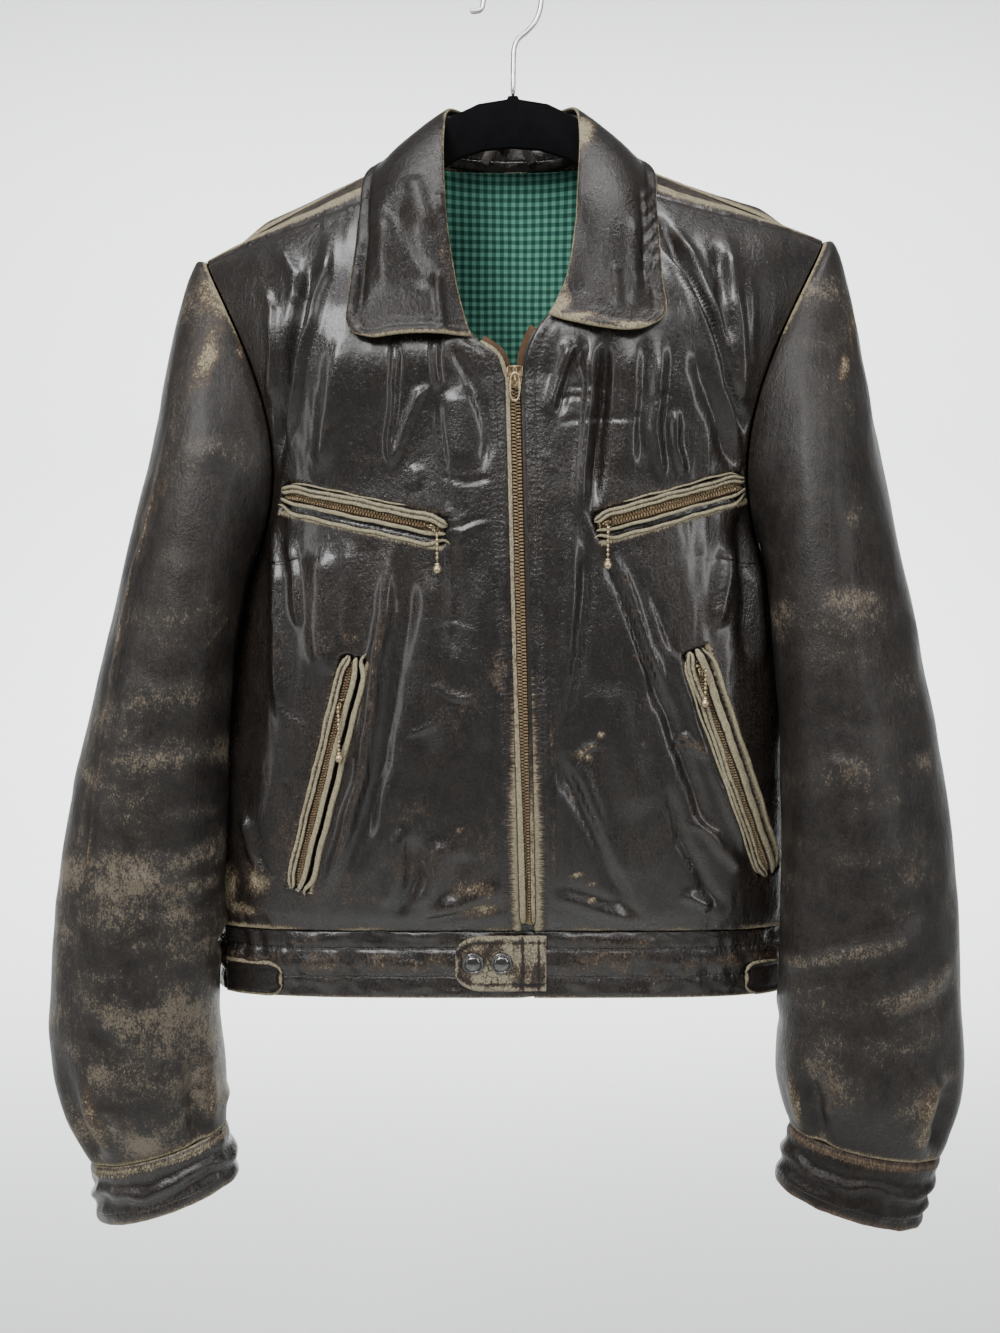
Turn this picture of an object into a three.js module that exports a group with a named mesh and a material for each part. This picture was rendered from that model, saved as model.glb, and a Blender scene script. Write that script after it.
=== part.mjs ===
// A waist-length leather zip jacket hanging from a padded-look flat hanger, as closed solids in millimetres.
// X runs to the right as the jacket faces you, Y runs away from you, +Z is up.
// The origin is the inside top of the hanger's hook, which is what carries the whole piece.
import * as THREE from "three";

// ---------------------------------------------------------------- driving sizes
const LEATHER = 1.6; // single hide
const DOUBLE = 2.4; // hide folded on itself: collar, band, tabs
const CUFF_WALL = 2.6;
const LINING_WALL = 1;
const SEAM_GAP = 0.6; // between two panels' cut edges
const LAY_GAP = 0.5; // between a panel and what is sewn on top of it

const ZIP_TOP_Z = -262; // where the front edges part
const WAIST_Z = -622; // seam between front and band, at centre front
const BAND_HEIGHT = 47;
const ARMPIT_Z = -385;
const NECK_BACK = new THREE.Vector3(0, 42, -110);

const ZIP_GAP = 4.4; // half the gap between the two front edges
const CHAIN_WIDTH = 5.6;
const HANGER_THICKNESS = 5;
const HANGER_TIP_X = 206; // how far each arm reaches into the sleeve head
const HOOK_WIRE = 3.4;

// ---------------------------------------------------------------- small maths
const lerp = (a, b, t) => a + (b - a) * t;
const clamp01 = (t) => Math.min(1, Math.max(0, t));
const smooth = (t) => clamp01(t) ** 2 * (3 - 2 * clamp01(t));
const vec = (x, y, z) => new THREE.Vector3(x, y, z);

/** A smooth curve through values at increasing keys: cubic Hermite with the slopes of the neighbours. */
function through(keys, values, t) {
  const last = keys.length - 1;
  const slope = (i) => {
    const a = Math.max(0, i - 1),
      b = Math.min(last, i + 1);
    return (values[b] - values[a]) / (keys[b] - keys[a]);
  };
  let i = 0;
  while (i < last - 1 && t > keys[i + 1]) i += 1;
  const span = keys[i + 1] - keys[i];
  const s = clamp01((t - keys[i]) / span);
  const s2 = s * s,
    s3 = s2 * s;
  return (
    (2 * s3 - 3 * s2 + 1) * values[i] +
    (s3 - 2 * s2 + s) * span * slope(i) +
    (3 * s2 - 2 * s3) * values[i + 1] +
    (s3 - s2) * span * slope(i + 1)
  );
}

/** The same curve through points, given as [key, x, y, z] rows. */
function pathThrough(rows, t) {
  const keys = rows.map((r) => r[0]);
  const at = (k) => through(keys, rows.map((r) => r[k]), t);
  return vec(at(1), at(2), at(3));
}

/** Even parameters from 0 to 1. */
const steps = (n) => Array.from({ length: n + 1 }, (_, i) => i / n);

// ---------------------------------------------------------------- walls
/** Unit normals of a grid of points, turned to the side that sign names. */
function gridNormals(rows, sign, wrap) {
  const last = rows.length - 1,
    wide = rows[0].length;
  return rows.map((row, j) =>
    row.map((_, i) => {
      const left = wrap ? (i + wide - 1) % wide : Math.max(0, i - 1);
      const right = wrap ? (i + 1) % wide : Math.min(wide - 1, i + 1);
      const du = row[right].clone().sub(row[left]);
      const dv = rows[Math.min(last, j + 1)][i].clone().sub(rows[Math.max(0, j - 1)][i]);
      return du.cross(dv).normalize().multiplyScalar(sign);
    }),
  );
}

/** A closed wall whose shown face is the grid and whose other face lies thickness behind it. */
function wall(rows, thickness, sign = 1, wrap = false) {
  const high = rows.length,
    wide = rows[0].length;
  const normals = gridNormals(rows, sign, wrap);
  const positions = [];
  for (const depth of [0, thickness]) {
    rows.forEach((row, j) =>
      row.forEach((p, i) => positions.push(...p.clone().addScaledVector(normals[j][i], -depth).toArray())),
    );
  }
  const shown = (j, i) => j * wide + (i % wide);
  const hidden = (j, i) => high * wide + shown(j, i);
  const index = [];
  const quad = (a, b, c, d) => index.push(a, b, c, a, c, d);
  const columns = wrap ? wide : wide - 1;
  for (let i = 0; i < columns; i += 1) {
    for (let j = 0; j < high - 1; j += 1) {
      quad(shown(j, i), shown(j, i + 1), shown(j + 1, i + 1), shown(j + 1, i));
      quad(hidden(j, i), hidden(j + 1, i), hidden(j + 1, i + 1), hidden(j, i + 1));
    }
    quad(shown(0, i), hidden(0, i), hidden(0, i + 1), shown(0, i + 1));
    quad(shown(high - 1, i), shown(high - 1, i + 1), hidden(high - 1, i + 1), hidden(high - 1, i));
  }
  if (!wrap) {
    for (let j = 0; j < high - 1; j += 1) {
      quad(shown(j, 0), shown(j + 1, 0), hidden(j + 1, 0), hidden(j, 0));
      quad(shown(j, wide - 1), hidden(j, wide - 1), hidden(j + 1, wide - 1), shown(j + 1, wide - 1));
    }
  }
  return outward(positions, index);
}

/** Geometry from points and triangles, turned so that its faces point outwards. */
function outward(positions, index) {
  let volume = 0;
  const at = (k) => vec(...positions.slice(3 * k, 3 * k + 3));
  for (let k = 0; k < index.length; k += 3) {
    volume += at(index[k]).dot(at(index[k + 1]).cross(at(index[k + 2])));
  }
  const turned = volume < 0 ? index.slice().reverse() : index;
  const geometry = new THREE.BufferGeometry();
  geometry.setAttribute("position", new THREE.Float32BufferAttribute(positions, 3));
  geometry.setIndex(turned);
  return geometry;
}

/** A bar swept along points: at each, a closed section of [across, out] pairs. */
function bar(points, across, out, section) {
  const wide = section.length;
  const positions = [];
  points.forEach((p, j) =>
    section.forEach(([a, o]) =>
      positions.push(...p.clone().addScaledVector(across[j], a).addScaledVector(out[j], o).toArray()),
    ),
  );
  const index = [];
  for (let j = 0; j < points.length - 1; j += 1) {
    for (let i = 0; i < wide; i += 1) {
      const k = (i + 1) % wide;
      const [a, b] = [j * wide + i, j * wide + k];
      index.push(a, b, b + wide, a, b + wide, a + wide);
    }
  }
  const end = (points.length - 1) * wide;
  for (let i = 1; i < wide - 1; i += 1) {
    index.push(0, i + 1, i, end, end + i, end + i + 1);
  }
  return outward(positions, index);
}

// ---------------------------------------------------------------- the two sides of the body
// Each side: -1 is the side on your left, +1 the side on your right.
const SIDES = {
  left: {
    sign: -1,
    tip: [-201, -183], // shoulder seam's outer end, x and z
    armpitX: -176,
    neckPoint: [-61, -9, -113],
    seamMid: [-101, -11, -131.5], // a point of the shoulder seam
    sideX: [-197, -193, -188, -184, -176], // half width along the side seam, from the waist up
    armholeFront: 44,
    armholeBack: 36,
    armholeInset: 31,
    neck: [
      [0, -4.2, -78, ZIP_TOP_Z],
      [0.1, -9, -79, -250],
      [0.22, -22, -78.5, -240],
      [0.42, -43, -72, -213],
      [0.62, -57, -54, -179],
      [0.82, -64, -32, -146],
      [1, -61, -9, -113],
    ],
  },
  right: {
    sign: 1,
    tip: [204, -170],
    armpitX: 172,
    neckPoint: [59, -9, -111],
    seamMid: [96, -11, -129],
    sideX: [193, 186, 181, 177, 172],
    armholeFront: 46,
    armholeBack: 36,
    armholeInset: -33,
    neck: [
      [0, 6.2, -78, ZIP_TOP_Z],
      [0.1, 8, -79.5, -248],
      [0.22, 16, -79.5, -232],
      [0.42, 38, -73, -207],
      [0.62, 54, -54, -175],
      [0.82, 62, -32, -144],
      [1, 59, -9, -111],
    ],
  },
};

const ARMPIT_Y = -6;
const zipX = (z) => lerp(1, 10.5, clamp01((ZIP_TOP_Z - z) / 360));

/** Armhole seam: angle 0 is the shoulder tip, pi the armpit, and the front lies between them. */
function armhole(side, angle) {
  const c = Math.cos(angle),
    s = Math.sin(angle);
  const x = lerp(side.armpitX, side.tip[0], (1 + c) / 2) + side.armholeInset * s * s * (1 - 0.3 * c);
  const y = ARMPIT_Y - (s > 0 ? side.armholeFront : side.armholeBack) * s;
  return vec(x, y, lerp(ARMPIT_Z, side.tip[1], (1 + c) / 2));
}

// Row heights: below ARMPIT_ROW a row runs from front edge to side seam, above it to the armhole.
const ARMPIT_ROW = 0.5;
const NECK_ROW = 0.5 + 5 / 24;
const SIDE_KEYS = [0, 0.07, 0.2, 0.36, 0.5];

/** Outer end of a body row: side seam, then armhole. facing is +1 for the front and -1 for the back. */
function rowOuter(side, v, facing) {
  if (v <= ARMPIT_ROW) {
    const z = lerp(WAIST_Z - 8, ARMPIT_Z, v / ARMPIT_ROW);
    return vec(through(SIDE_KEYS, side.sideX, v), ARMPIT_Y, z);
  }
  const angle = Math.PI * (1 - (v - ARMPIT_ROW) / (1 - ARMPIT_ROW));
  return armhole(side, facing * angle);
}

/** Front edge and neck edge of a front. */
function frontInner(side, v) {
  if (v <= NECK_ROW) {
    const z = lerp(WAIST_Z, ZIP_TOP_Z, v / NECK_ROW);
    return vec(zipX(z) + side.sign * ZIP_GAP, frontDepth(z), z);
  }
  return pathThrough(side.neck, (v - NECK_ROW) / (1 - NECK_ROW));
}

/** Depth of the front edge below the neck: full at the chest, drawn in to the band. */
const frontDepth = (z) => through([WAIST_Z, -606, -540, -420, -330, ZIP_TOP_Z], [-64, -70, -77, -81, -81, -78], z);
const backDepth = (z) => through([WAIST_Z - 14, -612, -540, -400, -280, -180, -110], [37, 42, 47, 52, 54, 52, 42], z);

/** How far round the side a row of a front turns before it ends, in quarter turns. */
const turn = (v) => through([0, 0.42, 0.5, 0.62, 0.8, 1], [1, 1, 0.98, 0.72, 0.5, 0.3], v);

/** Shares across and back along a row that ends after that turn: a squarish quarter round. */
function quarter(u, amount, squareness) {
  const angle = (Math.PI / 2) * Math.min(0.999, amount);
  const power = 2 / squareness;
  const across = Math.sin(angle * u) ** power / Math.sin(angle) ** power;
  const far = 1 - Math.cos(angle) ** power;
  const back = (1 - Math.max(0, Math.cos(angle * u)) ** power) / far;
  return [across, back];
}

/** A point of a front: u from front edge to side, v from waist to shoulder seam. */
function frontPoint(side, u, v) {
  const inner = frontInner(side, v);
  const outer = rowOuter(side, v, 1);
  const [across, back] = quarter(u, turn(v), 2.5);
  const fullness = 9 * Math.sin(Math.PI * u) * smooth((v - 0.6) / 0.15) * smooth((1 - v) / 0.2);
  const here = vec(
    lerp(inner.x, outer.x, across),
    lerp(inner.y, outer.y, back) - fullness,
    lerp(inner.z, outer.z, smooth(u)),
  );
  const rise = clamp01((v - 0.74) / 0.26) ** 2;
  if (rise === 0) return here;
  const [a, b] = quarter(u, turn(1), 2.5);
  const neck = frontInner(side, 1),
    tip = rowOuter(side, 1, 1);
  const base = vec(lerp(neck.x, tip.x, a), lerp(neck.y, tip.y, b), lerp(neck.z, tip.z, smooth(u)));
  return here.addScaledVector(shoulderSeam(side, u ** 0.9).sub(base), rise);
}

/** The shoulder seam, from the neck point to the tip. */
function shoulderSeam(side, share) {
  const tip = armhole(side, 0);
  return pathThrough([[0, ...side.neckPoint], [0.28, ...side.seamMid], [1, ...tip.toArray()]], share);
}

/** Top edge of the back: half the back neck, then the shoulder seam. */
const BACK_NECK_SHARE = 0.36;
function backTop(side, u) {
  if (u > BACK_NECK_SHARE) return shoulderSeam(side, (u - BACK_NECK_SHARE) / (1 - BACK_NECK_SHARE));
  const turned = (Math.PI / 2) * (u / BACK_NECK_SHARE);
  const [nx, ny, nz] = side.neckPoint;
  return vec(nx * Math.sin(turned), lerp(ny, NECK_BACK.y, Math.cos(turned)), lerp(nz, NECK_BACK.z, Math.cos(turned)));
}

/** A point of half the back: u from centre back to side, v from waist to the top edge. */
function backPoint(side, u, v) {
  const blended = (share, mid, end) => {
    const [across, back] = quarter(u, turn(share), 2.7);
    return vec(lerp(mid.x, end.x, across), lerp(mid.y, end.y, back), lerp(mid.z, end.z, smooth(u)));
  };
  const centreZ = lerp(WAIST_Z - 14, NECK_BACK.z, v);
  const centre = vec(lerp(8, 0, v), backDepth(centreZ), centreZ);
  const here = blended(v, centre, rowOuter(side, v, -1));
  if (v < 0.72) return here;
  const rise = clamp01((v - 0.72) / 0.28) ** 2;
  here.addScaledVector(backTop(side, u).sub(blended(1, NECK_BACK, armhole(side, 0))), rise);
  // the cloth stands a little over the hanger, just behind the seam
  here.z += SHOULDER_RISE * smooth((u - 0.3) / 0.1) * smooth((1 - u) / 0.2) * clamp01((v - 0.8) / 0.16) * clamp01((1 - v) / 0.045);
  return here;
}
const SHOULDER_RISE = 18;

// ---------------------------------------------------------------- sleeves and cuffs
// Rings from the armhole down: key, outer x and z, inner x and z, mid depth, front and back half depths,
// lean (front half moved towards the body), inset (armhole's hollow).
const SLEEVES = {
  left: {
    side: SIDES.left,
    rings: [
      [0, -201, -183, -176, -385, -6, 44, 36, 0, 31],
      [0.03, -208, -184, -181, -390, -8, 47, 37, 2, 27],
      [0.1, -219, -214, -185, -404, -13, 52, 40, 6, 15],
      [0.19, -229, -262, -187, -420, -19, 56, 42, 9, 5],
      [0.29, -240, -318, -189, -442, -25, 57, 44, 10, 0],
      [0.4, -255, -378, -190, -470, -30, 57, 46, 8, 0],
      [0.52, -271, -442, -192, -505, -33, 56, 48, 5, 0],
      [0.65, -290, -520, -195, -556, -37, 54, 49, 0, 0],
      [0.78, -307, -604, -198, -620, -41, 52, 48, 0, 0],
      [0.88, -314, -682, -199, -684, -44, 49, 45, 0, 0],
      [0.94, -311, -738, -196, -726, -46, 46, 41, 0, 0],
      [1, -290, -792, -197, -767, -48, 29, 28, 0, 0],
    ],
    cuffDrop: [3, -42, 7, -36], // the cuff's free edge from its seam: x and z outside, then inside
    pleats: [3, 9], // which of the ring's twenty-fourths fold in at the front
  },
  right: {
    side: SIDES.right,
    rings: [
      [0, 204, -170, 172, -385, -6, 46, 36, 0, -33],
      [0.03, 210, -172, 177, -390, -9, 49, 37, -2, -28],
      [0.1, 219, -200, 182, -404, -16, 54, 40, -9, -15],
      [0.19, 229, -250, 184, -420, -24, 58, 42, -16, -5],
      [0.29, 240, -310, 185, -442, -32, 58, 44, -20, 0],
      [0.4, 254, -372, 185, -470, -39, 57, 46, -20, 0],
      [0.52, 269, -440, 184, -505, -45, 55, 47, -19, 0],
      [0.65, 285, -520, 184, -556, -51, 53, 47, -17, 0],
      [0.78, 296, -600, 182, -620, -57, 50, 46, -14, 0],
      [0.88, 299, -672, 178, -680, -62, 48, 43, -8, 0],
      [0.94, 301, -726, 177, -720, -65, 45, 39, -4, 0],
      [1, 289, -778, 188, -758, -66, 29, 28, 0, 0],
    ],
    cuffDrop: [-12, -48, -8, -40],
    pleats: [3, 9],
  },
};
const PLEAT_DEPTH = 7;

/** A ring's point: angle 0 is the outer side, pi/2 the front, pi the inner side. */
function ringPoint(rings, t, angle) {
  const keys = rings.map((r) => r[0]);
  const [ox, oz, ix, iz, mid, front, back, lean, inset] = [1, 2, 3, 4, 5, 6, 7, 8, 9].map((k) =>
    through(keys, rings.map((r) => r[k]), t),
  );
  const c = Math.cos(angle),
    s = Math.sin(angle);
  const x = lerp(ix, ox, (1 + c) / 2) + lean * s + inset * s * s * (1 - 0.3 * c);
  return vec(x, mid - (s > 0 ? front : back) * s, lerp(iz, oz, (1 + c) / 2));
}

/** The middle of a ring. */
const ringMid = (sleeve, t) =>
  ringPoint(sleeve.rings, t, 0).add(ringPoint(sleeve.rings, t, Math.PI)).multiplyScalar(0.5);

const AROUND = 24;
const ringAngles = Array.from({ length: AROUND }, (_, i) => (2 * Math.PI * i) / AROUND);

/** A sleeve point, with the pleats that take its fullness into the cuff. */
function sleevePoint(sleeve, t, angle) {
  const p = ringPoint(sleeve.rings, t, angle);
  const toMid = ringMid(sleeve, t).sub(p).normalize();
  const deep = smooth((t - 0.9) / 0.09);
  for (const place of sleeve.pleats) {
    for (const at of [ringAngles[place], -ringAngles[place]]) {
      const away = Math.abs(Math.atan2(Math.sin(angle - at), Math.cos(angle - at)));
      p.addScaledVector(toMid, PLEAT_DEPTH * deep * Math.max(0, 1 - away / 0.3));
    }
  }
  return p;
}

function sleeveGeometry(sleeve) {
  const levels = [0, 0.03, 0.07, 0.12, 0.18, 0.25, 0.33, 0.42, 0.52, 0.63, 0.74, 0.84, 0.9, 0.95, 0.997];
  const clear = vec(sleeve.side.sign * SEAM_GAP, 0, 0);
  const rows = levels.map((t) => ringAngles.map((angle) => sleevePoint(sleeve, t, angle).add(clear)));
  return wall(rows, LEATHER, sleeve.side.sign, true);
}

/** A cuff point: w from the sleeve seam to the free edge. */
function cuffPoint(sleeve, w, angle) {
  const p = ringPoint(sleeve.rings, 1, angle);
  const outwards = p.clone().sub(ringMid(sleeve, 1)).normalize();
  const [outX, outZ, inX, inZ] = sleeve.cuffDrop;
  const inner = (1 - Math.cos(angle)) / 2;
  const drop = vec(lerp(outX, inX, inner), 0, lerp(outZ, inZ, inner));
  return p.addScaledVector(drop, w).addScaledVector(outwards, 1.6 * Math.sin(Math.PI * w));
}

function cuffGeometry(sleeve) {
  const rows = [0.025, 0.35, 0.7, 1].map((w) => ringAngles.map((angle) => cuffPoint(sleeve, w, angle)));
  return wall(rows, CUFF_WALL, sleeve.side.sign, true);
}

// ---------------------------------------------------------------- panels
const ARMHOLE_ROWS = Array.from({ length: 13 }, (_, k) => ARMPIT_ROW + k / 24);

const FRONT_ROWS = [0, 0.035, 0.09, 0.17, 0.26, 0.35, 0.43, ...ARMHOLE_ROWS];
const FRONT_COLUMNS = steps(11);
const frontGeometry = (side) =>
  wall(FRONT_ROWS.map((v) => FRONT_COLUMNS.map((u) => frontPoint(side, u, v))), LEATHER, side.sign);

/** Both halves of the back in one row, left to right, as the widths u on each side. */
const backRow = (widths, v) => [
  ...widths.map((u) => backPoint(SIDES.left, u, v)),
  backPoint(SIDES.left, 0, v),
  ...widths.slice().reverse().map((u) => backPoint(SIDES.right, u, v)),
];

function backGeometry() {
  const rows = [0, 0.04, 0.1, 0.19, 0.29, 0.4, ...ARMHOLE_ROWS];
  const half = [1, 0.9, 0.78, 0.66, 0.54, 0.43, BACK_NECK_SHARE, 0.24, 0.12];
  // the cut edges stop short of the fronts' at the side and shoulder seams
  const grid = rows.map((v) => backRow(half, v < 1 ? v : 0.993).map((p) => p.add(vec(0, SEAM_GAP, 0))));
  return wall(grid, LEATHER, -1);
}

const LINING_INSET = 3.2;
function liningGeometry() {
  const rows = [0.04, 0.1, 0.19, 0.29, 0.4, ...[0, 2, 4, 6, 8, 10].map((k) => ARMHOLE_ROWS[k]), 0.95, 0.975];
  const half = [0.9, 0.78, 0.66, 0.54, 0.43, BACK_NECK_SHARE, 0.24, 0.12];
  // it narrows to the neck, clear of the hanger
  const grid = rows.map((v) => backRow(half.map((u) => u * lerp(1, 0.36, smooth((v - 0.78) / 0.17))), v));
  const normals = gridNormals(grid, 1, false);
  const inset = (j) => LINING_INSET + 4 * smooth((rows[j] - 0.72) / 0.1);
  const inside = grid.map((row, j) => row.map((p, i) => p.addScaledVector(normals[j][i], inset(j))));
  return wall(inside, LINING_WALL, 1);
}

// ---------------------------------------------------------------- things laid on a panel
/** Where a front is, and which way it faces, at a given x and z. */
function onFront(side, x, z) {
  let u = clamp01((x - zipX(z)) / (side.tip[0] - zipX(z))),
    v = clamp01(z < ZIP_TOP_Z ? lerp(0, NECK_ROW, (z - WAIST_Z) / (ZIP_TOP_Z - WAIST_Z)) : 0.8);
  const h = 1e-4;
  for (let round = 0; round < 40; round += 1) {
    const p = frontPoint(side, u, v);
    const pu = frontPoint(side, u + h, v).sub(p).divideScalar(h);
    const pv = frontPoint(side, u, v + h).sub(p).divideScalar(h);
    const det = pu.x * pv.z - pv.x * pu.z;
    const dx = x - p.x,
      dz = z - p.z;
    u = Math.min(0.97, Math.max(0.01, u + Math.max(-0.2, Math.min(0.2, (dx * pv.z - dz * pv.x) / det))));
    v = Math.min(0.97, Math.max(0.01, v + Math.max(-0.2, Math.min(0.2, (dz * pu.x - dx * pu.z) / det))));
  }
  const p = frontPoint(side, u, v);
  const pu = frontPoint(side, u + h, v).sub(p);
  const pv = frontPoint(side, u, v + h).sub(p);
  const normal = pu.cross(pv).normalize();
  if (normal.y > 0) normal.negate();
  return { point: vec(x, facetY(side, x, z) ?? p.y, z), normal };
}

/** The y of the front's own facets at a given x and z. */
function facetY(side, x, z) {
  const grid = FRONT_ROWS.map((v) => FRONT_COLUMNS.map((u) => frontPoint(side, u, v)));
  for (let j = 0; j < grid.length - 1; j += 1) {
    for (let i = 0; i < grid[0].length - 1; i += 1) {
      const [a, b, c, d] = [grid[j][i], grid[j][i + 1], grid[j + 1][i + 1], grid[j + 1][i]];
      for (const [p, q, r] of [[a, b, c], [a, c, d]]) {
        const det = (q.x - p.x) * (r.z - p.z) - (r.x - p.x) * (q.z - p.z);
        const s = ((x - p.x) * (r.z - p.z) - (r.x - p.x) * (z - p.z)) / det;
        const t = ((q.x - p.x) * (z - p.z) - (x - p.x) * (q.z - p.z)) / det;
        if (s >= -1e-6 && t >= -1e-6 && s + t <= 1 + 1e-6) return p.y + s * (q.y - p.y) + t * (r.y - p.y);
      }
    }
  }
  return null;
}

/** A flat strip along points: half widths across, lying from lift to lift + thickness off the surface. */
function strip(points, normals, halfWidths, thickness, lift = LAY_GAP, acrossFixed = null) {
  const positions = [];
  points.forEach((p, j) => {
    const ahead = points[Math.min(points.length - 1, j + 1)].clone().sub(points[Math.max(0, j - 1)]);
    const across = acrossFixed ? acrossFixed[j] : normals[j].clone().cross(ahead).normalize();
    const w = Array.isArray(halfWidths) ? halfWidths[j] : halfWidths;
    for (const [a, o] of [[-w, lift], [w, lift], [w, lift + thickness], [-w, lift + thickness]]) {
      positions.push(...p.clone().addScaledVector(across, a).addScaledVector(normals[j], o).toArray());
    }
  });
  const index = [];
  for (let j = 0; j < points.length - 1; j += 1) {
    for (let i = 0; i < 4; i += 1) {
      const a = 4 * j + i,
        b = 4 * j + ((i + 1) % 4);
      index.push(a, b, b + 4, a, b + 4, a + 4);
    }
  }
  const end = 4 * (points.length - 1);
  index.push(0, 2, 1, 0, 3, 2, end, end + 1, end + 2, end, end + 2, end + 3);
  return outward(positions, index);
}

/** A closed round bar along points in the plane y = 0. */
function wire(points, radius, sides = 10) {
  const positions = [];
  const facing = vec(0, 1, 0);
  points.forEach((p, j) => {
    const ahead = points[Math.min(points.length - 1, j + 1)].clone().sub(points[Math.max(0, j - 1)]).normalize();
    const across = facing.clone().cross(ahead);
    for (let i = 0; i < sides; i += 1) {
      const a = (2 * Math.PI * i) / sides;
      positions.push(
        ...p.clone().addScaledVector(across, radius * Math.cos(a)).addScaledVector(facing, radius * Math.sin(a)).toArray(),
      );
    }
  });
  const index = [];
  for (let j = 0; j < points.length - 1; j += 1) {
    for (let i = 0; i < sides; i += 1) {
      const a = j * sides + i,
        b = j * sides + ((i + 1) % sides);
      index.push(a, b, b + sides, a, b + sides, a + sides);
    }
  }
  const end = (points.length - 1) * sides;
  for (let i = 1; i < sides - 1; i += 1) index.push(0, i + 1, i, end, end + i, end + i + 1);
  return outward(positions, index);
}

/** A turned piece standing up Z from its lathe profile of [radius, z] pairs. */
function turned(profile, sides = 12) {
  const geometry = new THREE.LatheGeometry(profile.map(([r, z]) => new THREE.Vector2(r, z)), sides);
  return geometry.rotateX(Math.PI / 2);
}

/** An outline in x and z, given thickness in y from front to front + thickness. */
function plate(outline, front, thickness, holes = []) {
  const shape = new THREE.Shape(outline.map(([x, z]) => new THREE.Vector2(x, z)));
  for (const hole of holes) shape.holes.push(new THREE.Path(hole.map(([x, z]) => new THREE.Vector2(x, z))));
  const geometry = new THREE.ExtrudeGeometry(shape, { depth: thickness, bevelEnabled: false });
  return geometry.rotateX(Math.PI / 2).translate(0, front + thickness, 0);
}

const round = (cx, cz, r, n, from = 0, to = 2 * Math.PI) =>
  Array.from({ length: n }, (_, i) => {
    const a = lerp(from, to, i / (to - from < 6.2 ? n - 1 : n));
    return [cx + r * Math.cos(a), cz + r * Math.sin(a)];
  });

// ---------------------------------------------------------------- collar
// Rows from the front end to the centre back: neck seam, roll, middle of the fall, free edge.
const COLLARS = {
  left: [
    [0, [-22, -76.5, -240], [-25, -82, -240], [-60, -82, -240], [-91, -76, -245]],
    [0.06, [-28, -75.5, -232], [-29, -80, -228], [-66, -81, -230], [-100, -75, -234]],
    [0.16, [-40, -72, -216], [-34, -74, -208], [-70, -78, -209], [-100, -74, -217]],
    [0.34, [-56, -55, -180], [-40, -58, -170], [-72, -66, -173], [-98, -60, -185]],
    [0.5, [-63, -34, -149], [-43, -38, -134], [-73, -43, -140], [-97, -40, -160]],
    [0.64, [-61, -11, -115], [-44, -16, -102], [-70, -15, -110], [-94, -12, -131]],
    [0.77, [-52, 12, -110], [-42, 10, -81], [-59, 15, -93], [-76, 20, -114]],
    [0.89, [-32, 34, -110], [-27, 36, -77], [-40, 49, -89], [-49, 56, -117]],
  ],
  right: [
    [0, [18, -78, -232], [21, -84, -227], [56, -83, -237], [85, -76, -237]],
    [0.06, [25, -76.5, -223], [26, -81, -218], [60, -81.5, -226], [92, -75, -227]],
    [0.16, [36, -73, -209], [33, -74, -200], [64, -78, -205], [91, -73, -212]],
    [0.34, [53, -55, -176], [38, -58, -166], [67, -65, -171], [91, -60, -183]],
    [0.5, [61, -34, -147], [41, -38, -132], [69, -43, -137], [91, -39, -156]],
    [0.64, [59, -11, -113], [43, -16, -100], [67, -15, -108], [91, -12, -128]],
    [0.77, [50, 12, -109], [41, 10, -80], [57, 15, -91], [74, 20, -112]],
    [0.89, [31, 34, -110], [27, 36, -76], [40, 49, -88], [49, 56, -116]],
  ],
};
const COLLAR_BACK = [1, [0, 42.5, -110], [0, 44, -77], [0, 59, -89], [0, 62, -118]];

/** One of the collar's four lines at t from the left front end (0) round the neck to the right (2). */
function collarLine(which, t) {
  const rows = [
    ...COLLARS.left,
    COLLAR_BACK,
    ...COLLARS.right.slice().reverse().map(([key, ...points]) => [2 - key, ...points]),
  ];
  return pathThrough(rows.map((r) => [r[0], ...r[1 + which]]), t);
}

/** A fall point: s from the roll to the free edge, bowed through the middle line. */
function fallPoint(t, s) {
  const [a, m, b] = [1, 2, 3].map((k) => collarLine(k, t));
  const control = m.clone().multiplyScalar(2).addScaledVector(a.clone().add(b), -0.5);
  return a
    .multiplyScalar((1 - s) ** 2)
    .addScaledVector(control, 2 * s * (1 - s))
    .addScaledVector(b, s * s);
}

/** Points and outward normals of the panels round the neck. */
function neckSamples() {
  const samples = [];
  const add = (point, sign) => {
    const grid = steps(44).map((u) => steps(30).map((w) => point(u, lerp(0.7, 0.999, w))));
    const normals = gridNormals(grid, sign, false);
    grid.forEach((row, j) => row.forEach((p, i) => samples.push([p, normals[j][i]])));
  };
  add((u, v) => frontPoint(SIDES.left, u, v), 1);
  add((u, v) => frontPoint(SIDES.right, u, v), -1);
  add((u, v) => backPoint(SIDES.left, u, v), -1);
  add((u, v) => backPoint(SIDES.right, u, v), 1);
  return samples;
}

/** Moves a point out to at least the given clearance from the nearest panel. */
function pushedOff(p, samples, clearance) {
  for (let round = 0; round < 3; round += 1) {
    let best = null,
      nearest = Infinity;
    for (const sample of samples) {
      const d = sample[0].distanceToSquared(p);
      if (d < nearest) [nearest, best] = [d, sample];
    }
    const off = p.clone().sub(best[0]).dot(best[1]);
    if (off >= clearance || nearest > 400) break;
    p.addScaledVector(best[1], clearance - off);
  }
  return p;
}

const COLLAR_KEYS = [0, 0.03, 0.06, 0.11, 0.16, 0.25, 0.34, 0.42, 0.5, 0.57, 0.64, 0.7, 0.77, 0.83, 0.89, 0.95];
const collarKeys = [...COLLAR_KEYS, 1, ...COLLAR_KEYS.slice().reverse().map((k) => 2 - k)];

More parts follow.
